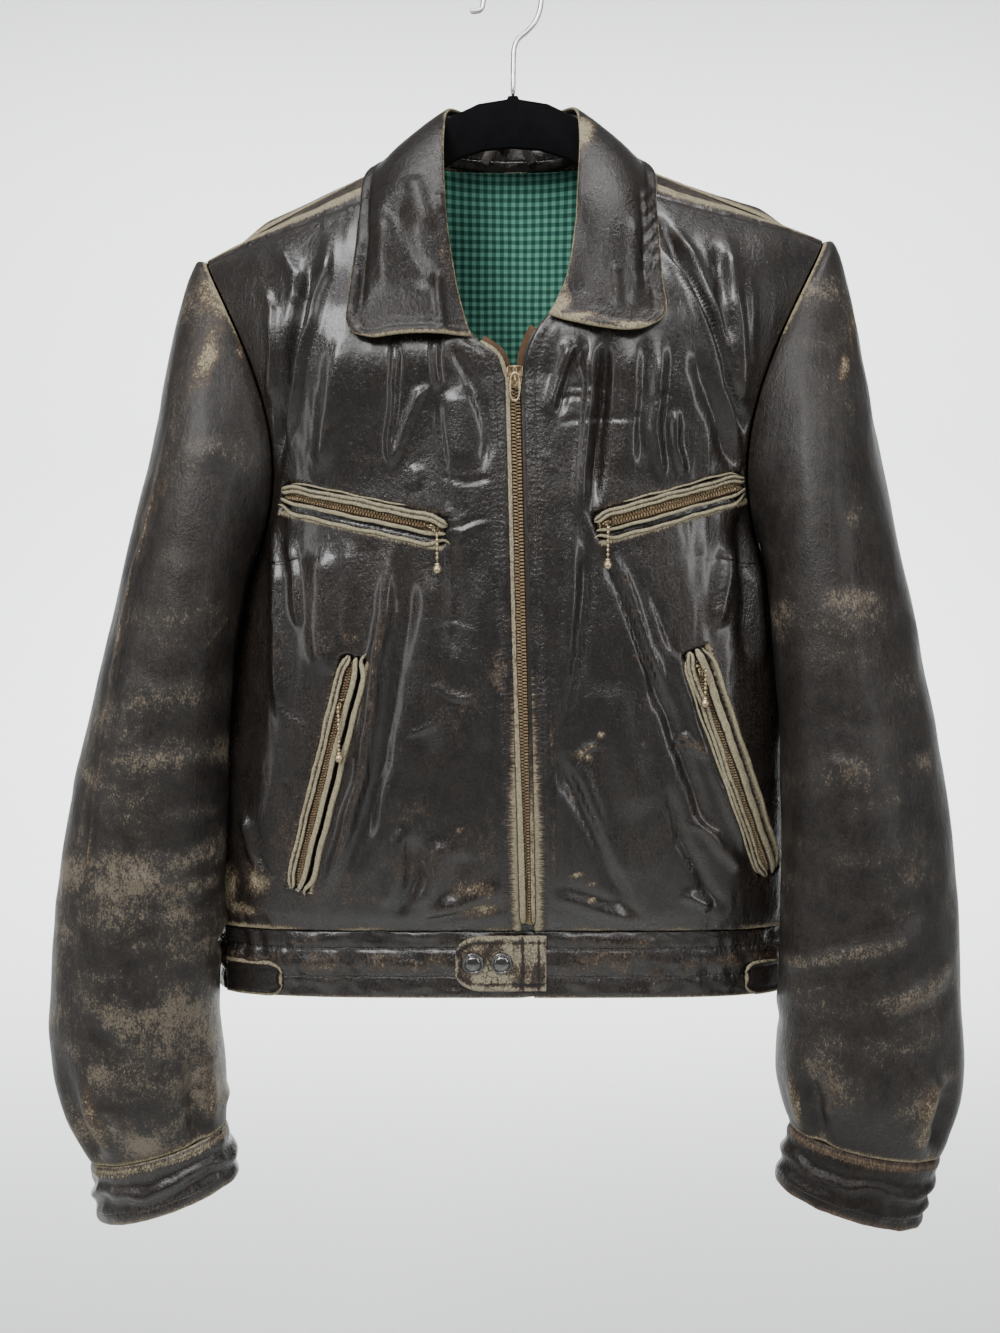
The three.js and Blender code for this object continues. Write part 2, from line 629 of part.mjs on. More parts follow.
function fallGeometry() {
  const samples = neckSamples();
  const grid = collarKeys.map((t) =>
    [0, 0.12, 0.28, 0.46, 0.64, 0.82, 1].map((s) => {
      const p = fallPoint(t, s);
      return s < 0.2 ? p : pushedOff(p, samples, DOUBLE + 1.6);
    }),
  );
  return wall(grid, DOUBLE, 1);
}

function standGeometry() {
  const keys = collarKeys.filter((t) => t > 0.3 && t < 1.7);
  const grid = keys.map((t) => [0.1, 0.45, 0.78].map((s) => collarLine(0, t).lerp(collarLine(1, t), s)));
  return wall(grid, 1.8, -1);
}

// ---------------------------------------------------------------- band and its tabs
const BAND_INSET = 3;

/** A point of the band's outer face: facing 1 is the front, w from its seam to the hem. */
function bandPoint(side, facing, u, w) {
  const at = (uu) => (facing > 0 ? frontPoint(side, uu, 0) : backPoint(side, uu, 0));
  const p = at(u);
  const run = at(Math.min(1, u + 0.01)).sub(at(Math.max(0, u - 0.01)));
  const inwards = vec(run.z * 0 + run.y, -run.x, 0).normalize();
  if (inwards.dot(vec(-p.x, -p.y, 0)) < 0) inwards.negate();
  const fade = facing > 0 ? 1 : 1;
  return p.addScaledVector(inwards, BAND_INSET * fade).add(vec(0, 0, -1.2 - BAND_HEIGHT * w));
}

const bandFront = (side) =>
  wall([0, 0.5, 1].map((w) => steps(10).map((u) => bandPoint(side, 1, 0.985 * u, w))), DOUBLE, -side.sign);

function bandBack() {
  const half = [1, 0.9, 0.78, 0.66, 0.5, 0.34, 0.17];
  const grid = [0, 0.5, 1].map((w) => [
    ...half.map((u) => bandPoint(SIDES.left, -1, u, w)),
    bandPoint(SIDES.left, -1, 0, w),
    ...half.slice().reverse().map((u) => bandPoint(SIDES.right, -1, u, w)),
  ]);
  return wall(grid.map((row) => row.map((p) => p.add(vec(0, SEAM_GAP, 0)))), DOUBLE, 1);
}

/** A point and normal of the band's front at a given x, at a share w of its height. */
function onBand(x, w) {
  const side = x < zipX(WAIST_Z) ? SIDES.left : SIDES.right;
  let lo = 0,
    hi = 1;
  for (let round = 0; round < 40; round += 1) {
    const mid = (lo + hi) / 2;
    if ((bandPoint(side, 1, mid, w).x - x) * side.sign < 0) lo = mid;
    else hi = mid;
  }
  const p = bandPoint(side, 1, lo, w);
  const run = bandPoint(side, 1, Math.min(1, lo + 0.01), w).sub(bandPoint(side, 1, Math.max(0, lo - 0.01), w));
  const normal = vec(run.y, -run.x, 0).normalize();
  if (normal.y > 0) normal.negate();
  return { point: vec(x, p.y, p.z), normal };
}

/** A tab on the band from x0 to x1, pointed at x0, of the given half height about w. */
function tab(x0, x1, w, halfHeight, point) {
  const n = 8;
  const xs = [0, 0.5 * point, point, ...steps(n).slice(1).map((t) => lerp(point, Math.abs(x1 - x0), t))];
  const places = xs.map((d) => onBand(x0 + Math.sign(x1 - x0) * d, w));
  const halves = xs.map((d) => halfHeight * (d >= point ? 1 : lerp(0.42, 1, d / point)));
  return strip(places.map((q) => q.point), places.map((q) => q.normal), halves, 2, LAY_GAP + 0.5, xs.map(() => vec(0, 0, 1)));
}

// ---------------------------------------------------------------- build
const group = new THREE.Group();
const finish = (color, roughness, metalness = 0) => new THREE.MeshStandardMaterial({ color, roughness, metalness });
const hide = finish(0x2a2522, 0.5);
const worn = finish(0x8a7a5e, 0.7);
const brass = finish(0x7a6240, 0.4, 0.9);
const steel = finish(0xa8a8a6, 0.3, 1);
const darkSteel = finish(0x4a4848, 0.25, 1);
const velvet = finish(0x0c0c0d, 0.95);
const check = finish(0x3c7f66, 0.9);

function add(name, geometry, material, place = null) {
  const mesh = new THREE.Mesh(geometry, material);
  mesh.name = name;
  if (place) mesh.position.copy(place);
  group.add(mesh);
  return mesh;
}

add("front_left", frontGeometry(SIDES.left), hide);
add("front_right", frontGeometry(SIDES.right), hide);
add("back", backGeometry(), hide);
add("lining", liningGeometry(), check);
for (const [name, sleeve] of Object.entries(SLEEVES)) {
  add("sleeve_" + name, sleeveGeometry(sleeve), hide);
  add("cuff_" + name, cuffGeometry(sleeve), hide);
}
add("collar_fall", fallGeometry(), hide);
add("collar_stand", standGeometry(), hide);
add("band_front_left", bandFront(SIDES.left), hide);
add("band_front_right", bandFront(SIDES.right), hide);
add("band_back", bandBack(), hide);

// tabs and snaps
add("snap_tab", tab(-38, 23, 0.46, 19.5, 9), worn);
add("side_tab_left", tab(-155, -186, 0.72, 12.5, 9), hide);
add("side_tab_right", tab(158, 183, 0.72, 12.5, 9), hide);
const SNAP = [[0, 0], [7.4, 0], [7.4, 0.4], [6, 2], [3.4, 3.1], [0, 3.4]];
[-26, -7].forEach((x, i) => {
  const { point } = onBand(x, 0.46);
  add("snap_" + (i + 1), turned(SNAP, 16).rotateX(Math.PI / 2), darkSteel, vec(x, point.y - LAY_GAP - 0.5 - 2 - 0.5, point.z + 1));
});

// hang loop, across the back of the neck
const loopPath = [[-18, 38.6, -107], [-13, 36, -99], [-7, 33, -90], [-1.5, 31.5, -86], [4, 33, -90], [9, 36, -99], [13.5, 38.6, -107]];
add(
  "hang_loop",
  strip(loopPath.map((p) => vec(...p)), loopPath.map(() => vec(0, -1, 0.1).normalize()), 2.8, 1.4),
  hide,
);

// hanger: one flat board, its top edge then its lower edge back, and the hook's wire
const HANGER_TOP = [
  [4, -78.6],
  [4, -76.5],
  [-3, -76.5],
  [-3, -78.6],
  [-22, -81.5],
  [-41, -90],
  [-50, -104],
  [-60, -123],
  [-84, -136],
  [-101, -142],
  [-150, -163],
  [-190, -184.5],
  [-HANGER_TIP_X, -196],
];
const HANGER_LOW = [
  [-HANGER_TIP_X + 1, -203],
  [-HANGER_TIP_X + 8, -206],
  [-160, -192],
  [-110, -168],
  [-74, -146],
  [-52, -126],
  [-35, -115.5],
  [-18, -110.5],
];
const mirrored = (outline) => outline.slice().reverse().map(([x, z]) => [1 - x, z + (x < -60 ? 2 : 0)]);
const hangerOutline = [
  ...HANGER_TOP,
  ...HANGER_LOW,
  [0.5, -109],
  ...mirrored(HANGER_LOW),
  ...mirrored(HANGER_TOP.slice(4)),
];
add("hanger", plate(hangerOutline, -HANGER_THICKNESS / 2, HANGER_THICKNESS), velvet);
const HOOK_PATH = [
  [-27.5, -24], [-23, -24], [-19.8, -22.2], [-18.7, -17], [-17.3, -9.9], [-13.2, -3.8], [-7.2, 0.3], [0, 1.7], [7.2, 0.3],
  [13.2, -3.8], [17.3, -9.9], [18.7, -17], [17.5, -24.5], [14.5, -31], [9.5, -36.5], [4, -41], [1.6, -45.5], [0.8, -52], [0.5, -76.2],
];
add("hanger_hook", wire(HOOK_PATH.map(([x, z]) => vec(x, 0, z)), HOOK_WIRE / 2), steel);

// main zip: a tape behind each front edge, the chain, the slider and its swinging pull
const SLIDER_Z = -264;
for (const side of Object.values(SIDES)) {
  const low = steps(12).map((t) => frontInner(side, lerp(0.035, NECK_ROW, t)));
  const high = [0.1, 0.22].map((t) => pathThrough(side.neck, t));
  const points = [...low, ...high].map((p) => p.clone());
  const across = points.map((p, j) => {
    const run = points[Math.min(points.length - 1, j + 1)].clone().sub(points[Math.max(0, j - 1)]);
    return run.cross(vec(0, -1, 0)).normalize().multiplyScalar(side.sign < 0 ? 1 : -1);
  });
  const outwardX = across.map((a) => (a.x * side.sign > 0 ? a : a.negate()));
  const shifted = points.map((p, j) => p.addScaledVector(outwardX[j], 5.2));
  add(
    side === SIDES.left ? "zip_tape_left" : "zip_tape_right",
    strip(shifted, shifted.map(() => vec(0, -1, 0)), 6, 0.8, -LEATHER - 2 * LAY_GAP - 0.8, outwardX),
    hide,
  );
}
const chainPoint = (z) => vec(zipX(z), Math.max(frontDepth(Math.max(z, WAIST_Z)), z < WAIST_Z + 6 ? -60.4 : -Infinity), z);
const chainZs = [-664, -619, -606, ...steps(10).map((t) => lerp(-590, SLIDER_Z - 7, t))];
add(
  "zip_chain",
  strip(chainZs.map(chainPoint), chainZs.map(() => vec(0, -1, 0)), CHAIN_WIDTH / 2, 1.8, -1, chainZs.map(() => vec(1, 0, 0))),
  brass,
);
const sliderFront = frontDepth(SLIDER_Z) - 4.2;
const sx = zipX(SLIDER_Z);
add(
  "zip_slider",
  plate([[sx - 5, SLIDER_Z + 7], [sx + 5, SLIDER_Z + 7], [sx + 4, SLIDER_Z - 5], [sx + 2.6, SLIDER_Z - 6.5], [sx - 2.6, SLIDER_Z - 6.5], [sx - 4, SLIDER_Z - 5]], sliderFront, 3.6),
  brass,
);
const pullTop = SLIDER_Z + 3;
const PULL_STANDOFF = 3.2; // clear of the slider when it swings up
const pullOuter = [...round(sx, pullTop - 3.4, 3.4, 9, 0, Math.PI), ...round(sx, pullTop - 14.4, 3.9, 9, Math.PI, 2 * Math.PI)];
const pullHole = [...round(sx, pullTop - 3.6, 1.7, 7, 0, Math.PI), ...round(sx, pullTop - 14.2, 2.3, 7, Math.PI, 2 * Math.PI)];
add("zip_pull", plate(pullOuter, sliderFront - PULL_STANDOFF, 1.5, [pullHole]), brass);

// pockets: two welts, the zip between them, and a slider with a hanging chain of beads
const POCKETS = {
  chest_left: { side: SIDES.left, from: [-148, -337], to: [-42, -360], half: 9.5, slider: 0.96, drop: 28 },
  chest_right: { side: SIDES.right, from: [149, -330], to: [52, -356], half: 9.5, slider: 0.94, drop: 30 },
  hand_left: { side: SIDES.left, from: [-143, -594], to: [-101, -438], half: 9.5, slider: 0.81, drop: 40 },
  hand_right: { side: SIDES.right, from: [174, -588], to: [116, -434], half: 9.5, slider: 0.93, drop: 28 },
};
/** A chain of beads hanging from z = 0, ending in a ball: one lathe-turned solid. */
function beadChain(length) {
  const profile = [[0, 0], [0.55, -0.3]];
  const beads = Math.floor((length - 7) / 3);
  for (let i = 0; i < beads; i += 1) {
    const z = -1 - 3 * i;
    profile.push([0.55, z], [1.2, z - 1], [1.2, z - 2], [0.55, z - 3]);
  }
  const z = -1 - 3 * beads;
  profile.push([2.2, z - 1], [3, z - 3], [2.2, z - 5], [0.8, z - 6], [0, z - 6]);
  return turned(profile.reverse(), 8);
}
for (const [name, pocket] of Object.entries(POCKETS)) {
  const spots = (from, to, n) =>
    steps(n).map((t) => {
      const w = lerp(from, to, t);
      return onFront(pocket.side, lerp(pocket.from[0], pocket.to[0], w), lerp(pocket.from[1], pocket.to[1], w));
    });
  const line = spots(0, 1, 10);
  const points = line.map((q) => q.point),
    normals = line.map((q) => q.normal);
  const acrossAt = (j) => {
    const run = points[Math.min(points.length - 1, j + 1)].clone().sub(points[Math.max(0, j - 1)]);
    return normals[j].clone().cross(run).normalize();
  };
  for (const [part, offset] of [["welt_a", 1], ["welt_b", -1]]) {
    const laid = points
      .map((p, j) => p.clone().addScaledVector(acrossAt(j), offset * (pocket.half - 3)))
      .map((p) => onFront(pocket.side, p.x, p.z));
    add(name + "_" + part, strip(laid.map((q) => q.point), laid.map((q) => q.normal), 3, 2, LAY_GAP + 0.2), hide);
  }
  const inside = spots(0.02, 0.98, 9);
  add(name + "_zip", strip(inside.map((q) => q.point), inside.map((q) => q.normal), CHAIN_WIDTH / 2, 1.2), brass);
  const at = spots(pocket.slider - 0.001, pocket.slider + 0.001, 1);
  const run = at[1].point.clone().sub(at[0].point).normalize();
  const mid = at[0].point;
  const ends = [-4.5, 4.5].map((d) => mid.clone().addScaledVector(run, d));
  add(name + "_slider", strip(ends, [at[0].normal, at[0].normal], 3.1, 2.6, LAY_GAP + 1.2 + 0.4), brass);
  const hang = mid.clone().addScaledVector(at[0].normal, LAY_GAP + 1.2 + 0.4 + 2.6 + 3.6);
  add(name + "_pull", beadChain(pocket.drop), brass, hang);
}

export default group;
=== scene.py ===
"""A worn black leather zip jacket on its hanger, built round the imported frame.

Lengths inside this file are millimetres; they become metres where a mesh is made.
X runs to the right as the jacket faces you, Y away from you, Z up; the origin is inside the hook's top.
"""

from __future__ import annotations

import logging
import math
from dataclasses import dataclass, field
from enum import Enum
from typing import Callable, Sequence, Union

import bpy
import numpy as np
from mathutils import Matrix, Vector

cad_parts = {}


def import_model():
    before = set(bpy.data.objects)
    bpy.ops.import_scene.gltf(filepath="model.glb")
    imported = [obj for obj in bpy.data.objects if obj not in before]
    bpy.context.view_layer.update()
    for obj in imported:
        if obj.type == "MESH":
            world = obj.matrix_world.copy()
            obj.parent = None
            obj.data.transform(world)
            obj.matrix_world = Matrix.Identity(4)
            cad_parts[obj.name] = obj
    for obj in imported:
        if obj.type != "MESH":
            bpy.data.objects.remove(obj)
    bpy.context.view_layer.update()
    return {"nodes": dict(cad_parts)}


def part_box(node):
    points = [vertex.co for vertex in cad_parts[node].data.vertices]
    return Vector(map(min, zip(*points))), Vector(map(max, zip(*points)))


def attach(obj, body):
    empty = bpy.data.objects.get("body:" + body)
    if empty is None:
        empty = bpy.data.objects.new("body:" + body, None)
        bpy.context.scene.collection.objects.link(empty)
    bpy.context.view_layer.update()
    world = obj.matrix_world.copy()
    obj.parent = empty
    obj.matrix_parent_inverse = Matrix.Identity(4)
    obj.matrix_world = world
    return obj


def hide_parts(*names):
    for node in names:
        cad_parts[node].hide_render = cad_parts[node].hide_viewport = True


Array = np.ndarray
LOG = logging.getLogger("jacket")
MM = 0.001
JACKET = "jacket"


# ---------------------------------------------------------------- whole-array maths
def lerp(a: Array, b: Array, t: Array) -> Array:
    """The straight blend from a to b at t."""
    return a + (b - a) * t


def ease(t: Array) -> Array:
    """Smoothstep: 3t² - 2t³ of t held between 0 and 1."""
    t = np.clip(t, 0, 1)
    return t * t * (3 - 2 * t)


def bell(d: Array, width: float) -> Array:
    """exp(-(d/width)²), a soft bump about d = 0."""
    return np.exp(-((d / width) ** 2))


def unit(v: Array) -> Array:
    """Vectors of length one along v."""
    return v / np.maximum(np.linalg.norm(v, axis=-1, keepdims=True), 1e-9)


def vec(x: Array, y: Array, z: Array) -> Array:
    """Points from their three coordinates, broadcast together."""
    return np.stack(np.broadcast_arrays(x, y, z), axis=-1).astype(float)


def through(keys: Sequence[float], values: Sequence, t: Array) -> Array:
    """A smooth curve through values at increasing keys: cubic Hermite with the neighbours' slopes.

    Args:
        keys: increasing parameters.
        values: a number or a point for each key.
        t: where to read the curve, any shape.

    Returns:
        The values at t, with the points' axis last.
    """
    k, v, t = np.asarray(keys, float), np.asarray(values, float), np.asarray(t, float)
    last = len(k) - 1
    before, after = np.maximum(np.arange(last + 1) - 1, 0), np.minimum(np.arange(last + 1) + 1, last)
    extra = (1,) * (v.ndim - 1)
    slope = (v[after] - v[before]) / (k[after] - k[before]).reshape(-1, *extra)
    i = np.clip(np.searchsorted(k, t, side="left") - 1, 0, last - 1)
    span = (k[i + 1] - k[i]).reshape(t.shape + extra)
    s = np.clip((t - k[i]) / (k[i + 1] - k[i]), 0, 1).reshape(t.shape + extra)
    s2, s3 = s * s, s**3
    return (
        (2 * s3 - 3 * s2 + 1) * v[i]
        + (s3 - 2 * s2 + s) * span * slope[i]
        + (3 * s2 - 2 * s3) * v[i + 1]
        + (s3 - s2) * span * slope[i + 1]
    )


def noise(points: Array, cell: Sequence[float], seed: int, octaves: int = 1) -> Array:
    """Value noise from -1 to 1: random lattice values, eased between, with halved finer octaves added.

    Args:
        points: (..., 3) places in millimetres.
        cell: the lattice spacing along x, y and z.
        seed: picks the lattice values.
        octaves: how many times the spacing is halved.

    Returns:
        One number for each point.
    """
    total, weight, scale = 0.0, 0.0, 1.0
    for octave in range(octaves):
        q = points / np.asarray(cell, float) / scale + 17.3 * (octave + 1)
        base = np.floor(q).astype(np.int64)
        f = ease(q - base)
        value = 0.0
        for corner in range(8):
            step = np.array([corner & 1, corner >> 1 & 1, corner >> 2 & 1])
            share = np.prod(np.where(step == 1, f, 1 - f), axis=-1)
            n = (base + step) @ np.array([374761393, 668265263, 1274126177]) + seed * 362437
            n = (n ^ (n >> 13)) & 0xFFFFFFFF
            n = (n * 1274126177) & 0xFFFFFFFF
            n = (n ^ (n >> 16)) & 0xFFFF
            value = value + share * (n / 32767.5 - 1)
        total, weight, scale = total + scale * value, weight + scale, scale / 2
    return total / weight


# ---------------------------------------------------------------- creases and worn places
@dataclass(frozen=True)
class Fold:
    """A ridge (height > 0) or trough along a line of (x, z) points, a bell across it.

    lean makes the bell steeper on one side; wear is how much the crest is rubbed.
    """

    line: tuple
    width: float
    height: float
    wear: float = 0.0
    lean: float = 0.0

    def reach(self, x: Array, z: Array) -> Array:
        """The bell's share at each place, fading to the line's two ends."""
        points = np.asarray(self.line, float)
        lengths = np.linalg.norm(np.diff(points, axis=0), axis=1)
        whole, gone = lengths.sum(), 0.0
        best = np.full(x.shape, 1e9)
        side = np.zeros(x.shape)
        along = np.zeros(x.shape)
        for (ax, az), (bx, bz), length in zip(points[:-1], points[1:], lengths):
            dx, dz = (bx - ax) / length, (bz - az) / length
            t = np.clip((x - ax) * dx + (z - az) * dz, 0, length)
            ox, oz = x - ax - t * dx, z - az - t * dz
            d = np.hypot(ox, oz)
            near = d < best
            best = np.where(near, d, best)
            side = np.where(near, np.sign(ox * dz - oz * dx), side)
            along = np.where(near, (gone + t) / whole, along)
            gone += length
        fade = ease(np.minimum(along, 1 - along) / 0.22 + 0.12)
        return bell(best, self.width * (1 + 0.6 * self.lean * side)) * fade


@dataclass(frozen=True)
class Patch:
    """A worn or scuffed oval at (x, z), turned by some degrees; rx and rz are its reach each way."""

    x: float
    z: float
    rx: float
    rz: float
    amount: float
    turn: float = 0.0

    def reach(self, x: Array, z: Array) -> Array:
        """amount at the middle, falling off as a bell."""
        a = math.radians(self.turn)
        dx, dz = x - self.x, z - self.z
        p = (dx * math.cos(a) + dz * math.sin(a)) / self.rx
        q = (dz * math.cos(a) - dx * math.sin(a)) / self.rz
        return self.amount * np.exp(-p * p - q * q)


def pressed(points: Array, folds: Sequence[Fold], seed: int) -> tuple[Array, Array]:
    """Adds up folds on slightly wandering coordinates.

    Args:
        points: (..., 3) places.
        folds: the creases, whose lines are in x and z.
        seed: for the wandering.

    Returns:
        Height in millimetres and wear at each place.
    """
    x = points[..., 0] + 2.2 * noise(points, (26, 26, 26), seed, 2)
    z = points[..., 2] + 2.2 * noise(points, (26, 26, 26), seed + 1, 2)
    height, wear = np.zeros(x.shape), np.zeros(x.shape)
    for fold in folds:
        share = fold.reach(x, z)
        height += fold.height * share
        wear = np.maximum(wear, fold.wear * share)
    return height, wear


def patched(points: Array, patches: Sequence[Patch]) -> Array:
    """The strongest patch at each place, their outlines bent by noise."""
    x = points[..., 0] + 9 * noise(points, (30, 30, 30), 201, 3)
    z = points[..., 2] + 9 * noise(points, (30, 30, 30), 202, 3)
    out = np.zeros(points.shape[:-1])
    for patch in patches:
        out = np.maximum(out, patch.reach(x, z))
    return out


def draped(points: Array, amount: float, seed: int) -> Array:
    """Soft hanging fullness: long upright swells, finer upright wrinkles and a little random buckling."""
    swell = noise(points, (34, 60, 150), seed, 2)
    wrinkle = 1 - np.abs(noise(points, (15, 40, 70), seed + 3, 2)) * 2
    buckle = noise(points, (22, 30, 22), seed + 5, 2)
    return amount * (swell + 0.32 * wrinkle + 0.22 * buckle)


# ---------------------------------------------------------------- meshes
def make_object(name: str, vertices: Array, faces: Sequence[Array], values: dict = None) -> bpy.types.Object:
    """A smooth-shaded mesh object at the origin, turned so that its faces point out.

    Args:
        name: the piece's name.
        vertices: (n, 3) in millimetres.
        faces: index arrays, one for each number of corners.
        values: point attributes by name.

    Returns:
        The linked object.
    """
    volume = 0.0
    for block in faces:
        first = vertices[block[:, 0]]
        for k in range(1, block.shape[1] - 1):
            volume += np.einsum("ij,ij->", first, np.cross(vertices[block[:, k]], vertices[block[:, k + 1]]))
    if volume < 0:
        faces = [block[:, ::-1] for block in faces]
    mesh = bpy.data.meshes.new(name)
    mesh.vertices.add(len(vertices))
    mesh.vertices.foreach_set("co", (np.asarray(vertices, np.float64) * MM).astype(np.float32).ravel())
    corners = np.concatenate([block.ravel() for block in faces])
    sizes = np.concatenate([np.full(len(block), block.shape[1]) for block in faces])
    mesh.loops.add(len(corners))
    mesh.loops.foreach_set("vertex_index", corners.astype(np.int32))
    mesh.polygons.add(len(sizes))
    mesh.polygons.foreach_set("loop_start", np.concatenate([[0], np.cumsum(sizes)[:-1]]).astype(np.int32))
    mesh.polygons.foreach_set("use_smooth", np.ones(len(sizes), bool))
    for key, data in (values or {}).items():
        mesh.attributes.new(key, "FLOAT", "POINT").data.foreach_set(
            "value", np.asarray(data, np.float32).ravel()
        )
    mesh.update(calc_edges=True)
    mesh.validate()
    piece = bpy.data.objects.new(name, mesh)
    bpy.context.scene.collection.objects.link(piece)
    return piece


def spaced(count: int, length: float, rim: Sequence[float] = (0, 0.25, 0.7, 1.5)) -> Array:
    """Parameters 0 to 1 along a length: close together at both ends for a rounded rim, even between."""
    start = np.asarray(rim) / length
    return np.concatenate([start, np.linspace(start[-1], 1 - start[-1], count)[1:-1], 1 - start[::-1]])


def quads(high: int, wide: int, wrap: bool, offset: int = 0) -> Array:
    """Index quads over a grid of points stored row by row."""
    j, i = np.meshgrid(np.arange(high - 1), np.arange(wide if wrap else wide - 1), indexing="ij")
    k = (i + 1) % wide
    a, b, c, d = j * wide + i, j * wide + k, (j + 1) * wide + k, (j + 1) * wide + i
    return np.stack([a, b, c, d], axis=-1).reshape(-1, 4) + offset


class Panel:
    """A cut of hide or cloth: a grid of points on its shown face, thickened behind it.

    Attributes:
        grid: (rows, columns, 3) points of the smooth form.
        normal: unit normals on the shown side.
        u0, u1, v0, v1: millimetres along the surface from the first and last column and row.
    """

    def __init__(self, grid: Array, facing: Array, thickness: float, wrap: bool = False) -> None:
        """Measures the grid.

        Args:
            grid: points of the shown face.
            facing: a direction, or one for each point, on the shown side.
            thickness: wall in millimetres.
            wrap: whether the last column joins the first.
        """
        self.grid, self.thickness, self.wrap = grid, thickness, wrap
        self.normal = self.normals(grid)
        self.sign = 1.0 if np.mean(np.sum(self.normal * facing, axis=-1)) > 0 else -1.0
        self.normal = self.normal * self.sign
        across = np.linalg.norm(np.diff(grid, axis=1), axis=-1)
        up = np.linalg.norm(np.diff(grid, axis=0), axis=-1)
        self.u0 = np.concatenate([np.zeros((len(grid), 1)), np.cumsum(across, axis=1)], axis=1)
        self.u1 = self.u0[:, -1:] - self.u0
        self.v0 = np.concatenate([np.zeros((1, grid.shape[1])), np.cumsum(up, axis=0)], axis=0)
        self.v1 = self.v0[-1:] - self.v0

    def normals(self, grid: Array) -> Array:
        """Cross products of the central differences along rows and columns."""
        if self.wrap:
            du = np.roll(grid, -1, axis=1) - np.roll(grid, 1, axis=1)
        else:
            du = np.gradient(grid, axis=1)
        return unit(np.cross(du, np.gradient(grid, axis=0)))

    def inside(self, reach: float, sides: str = "u0 u1 v0 v1") -> Array:
        """0 on the named borders, easing to 1 at reach millimetres in."""
        share = np.ones(self.grid.shape[:2])
        for side in sides.split():
            share = share * ease(getattr(self, side) / reach)
        return share

    def area(self) -> float:
        """Square metres of the smooth form."""
        g = np.concatenate([self.grid, self.grid[:, :1]], axis=1) if self.wrap else self.grid
        a, b = g[1:, 1:] - g[:-1, :-1], g[1:, :-1] - g[:-1, 1:]
        return float(np.linalg.norm(np.cross(a, b), axis=-1).sum() / 2) * MM * MM

    def flat(self) -> tuple[float, float]:
        """The cut's width and length in metres: its longest row and column."""
        extra = np.linalg.norm(self.grid[:, 0] - self.grid[:, -1], axis=-1) if self.wrap else 0
        return float((self.u0[:, -1] + extra).max()) * MM, float(self.v0[-1].max()) * MM

    def piece(self, name: str, relief: Array, rounding: float = 1.6, **values: Array) -> bpy.types.Object:
        """The closed mesh: the grid raised by relief, and its other face behind, with rounded rims.

        The two faces close on each other as sqrt(1 - (1 - d/r)²) towards a border at distance d.

        Args:
            name: the object's name.
            relief: millimetres that each point is raised along its normal.
            rounding: how far in from a border the wall starts to thin, r.
            values: point attributes.

        Returns:
            The object.
        """
        raised = self.grid + self.normal * relief[..., None]
        normal = self.normals(raised) * self.sign
        border = np.minimum(self.v0, self.v1)
        if not self.wrap:
            border = np.minimum(border, np.minimum(self.u0, self.u1))
        open_share = np.sqrt(1 - (1 - np.clip(border / rounding, 0, 1)) ** 2)
        half = 0.5 * self.thickness * (1 - np.maximum(open_share, 0.1))[..., None]
        outer, inner = raised - normal * half, raised - normal * (self.thickness - half)
        high, wide = relief.shape
        n = high * wide
        shown, hidden = quads(high, wide, self.wrap), quads(high, wide, self.wrap, n)[:, ::-1]
        rims = []
        for row in (0, high - 1):
            i = np.arange(wide if self.wrap else wide - 1)
            a, b = row * wide + i, row * wide + (i + 1) % wide
            rim = np.stack([a, a + n, b + n, b], axis=-1)
            rims.append(rim if row == 0 else rim[:, ::-1])
        if not self.wrap:
            for column in (0, wide - 1):
                a = np.arange(high - 1) * wide + column
                b = a + wide
                rim = np.stack([a, b, b + n, a + n], axis=-1)
                rims.append(rim if column == 0 else rim[:, ::-1])
        shared = {"u0": self.u0, "u1": self.u1, "v0": self.v0, "v1": self.v1, "rim": border, **values}
        doubled = {key: np.concatenate([np.broadcast_to(v, (high, wide)).ravel()] * 2)
                   for key, v in shared.items()}
        vertices = np.concatenate([outer.reshape(-1, 3), inner.reshape(-1, 3)])
        self.shown = outer
        return make_object(name, vertices, [np.concatenate([shown, hidden, *rims])], doubled)


def sweep(name: str, path: Array, across: Array, out: Array, section: Array, scale: Array = None,
          worn: Array = None, streak: str = "") -> bpy.types.Object:
    """A closed bar: a loop of (across, out) pairs carried along a path, its ends filled.

    Args:
        name: the object's name.
        path: (n, 3) points.
        across: (n, 3) directions for the section's first number.
        out: (n, 3) directions for its second.
        section: (m, 2) loop in millimetres.
        scale: (n,) factors on the section, for tapered ends.
        worn: (m,) wear across the section, or (n, m).
        streak: the attribute that makes streaks across it, wear_x or wear_z.

    Returns:
        The object, with attributes u0 along the path and v0 across it.
    """
    scale = np.ones(len(path)) if scale is None else scale
    loop = section[None] * scale[:, None, None]
    points = path[:, None] + loop[..., :1] * across[:, None] + loop[..., 1:] * out[:, None]
    high, wide = points.shape[:2]
    caps = [np.arange(wide)[::-1][None], (np.arange(wide) + (high - 1) * wide)[None]]
    run = np.concatenate([[0], np.cumsum(np.linalg.norm(np.diff(path, axis=0), axis=1))])
    worn = np.ones(wide) if worn is None else worn
    values = {"u0": np.repeat(run, wide), "v0": np.tile(section[:, 0], high),
              "wear": np.broadcast_to(worn, (high, wide)).ravel()}
    if streak:
        values[streak] = 0.56 * np.clip(values["wear"] * 1.6, 0, 1)
    return make_object(name, points.reshape(-1, 3), [quads(high, wide, True), np.concatenate(caps)], values)


def rounded_ends(count: int, share: float = 0.06, least: float = 0.25) -> Array:
    """Factors along a bar that round its two ends off: sqrt(1 - (1 - t)²) over the share at each end."""
    t = np.linspace(0, 1, count)
    near = np.clip(np.minimum(t, 1 - t) / share, 0, 1)
    return np.maximum(np.sqrt(1 - (1 - near) ** 2), least)


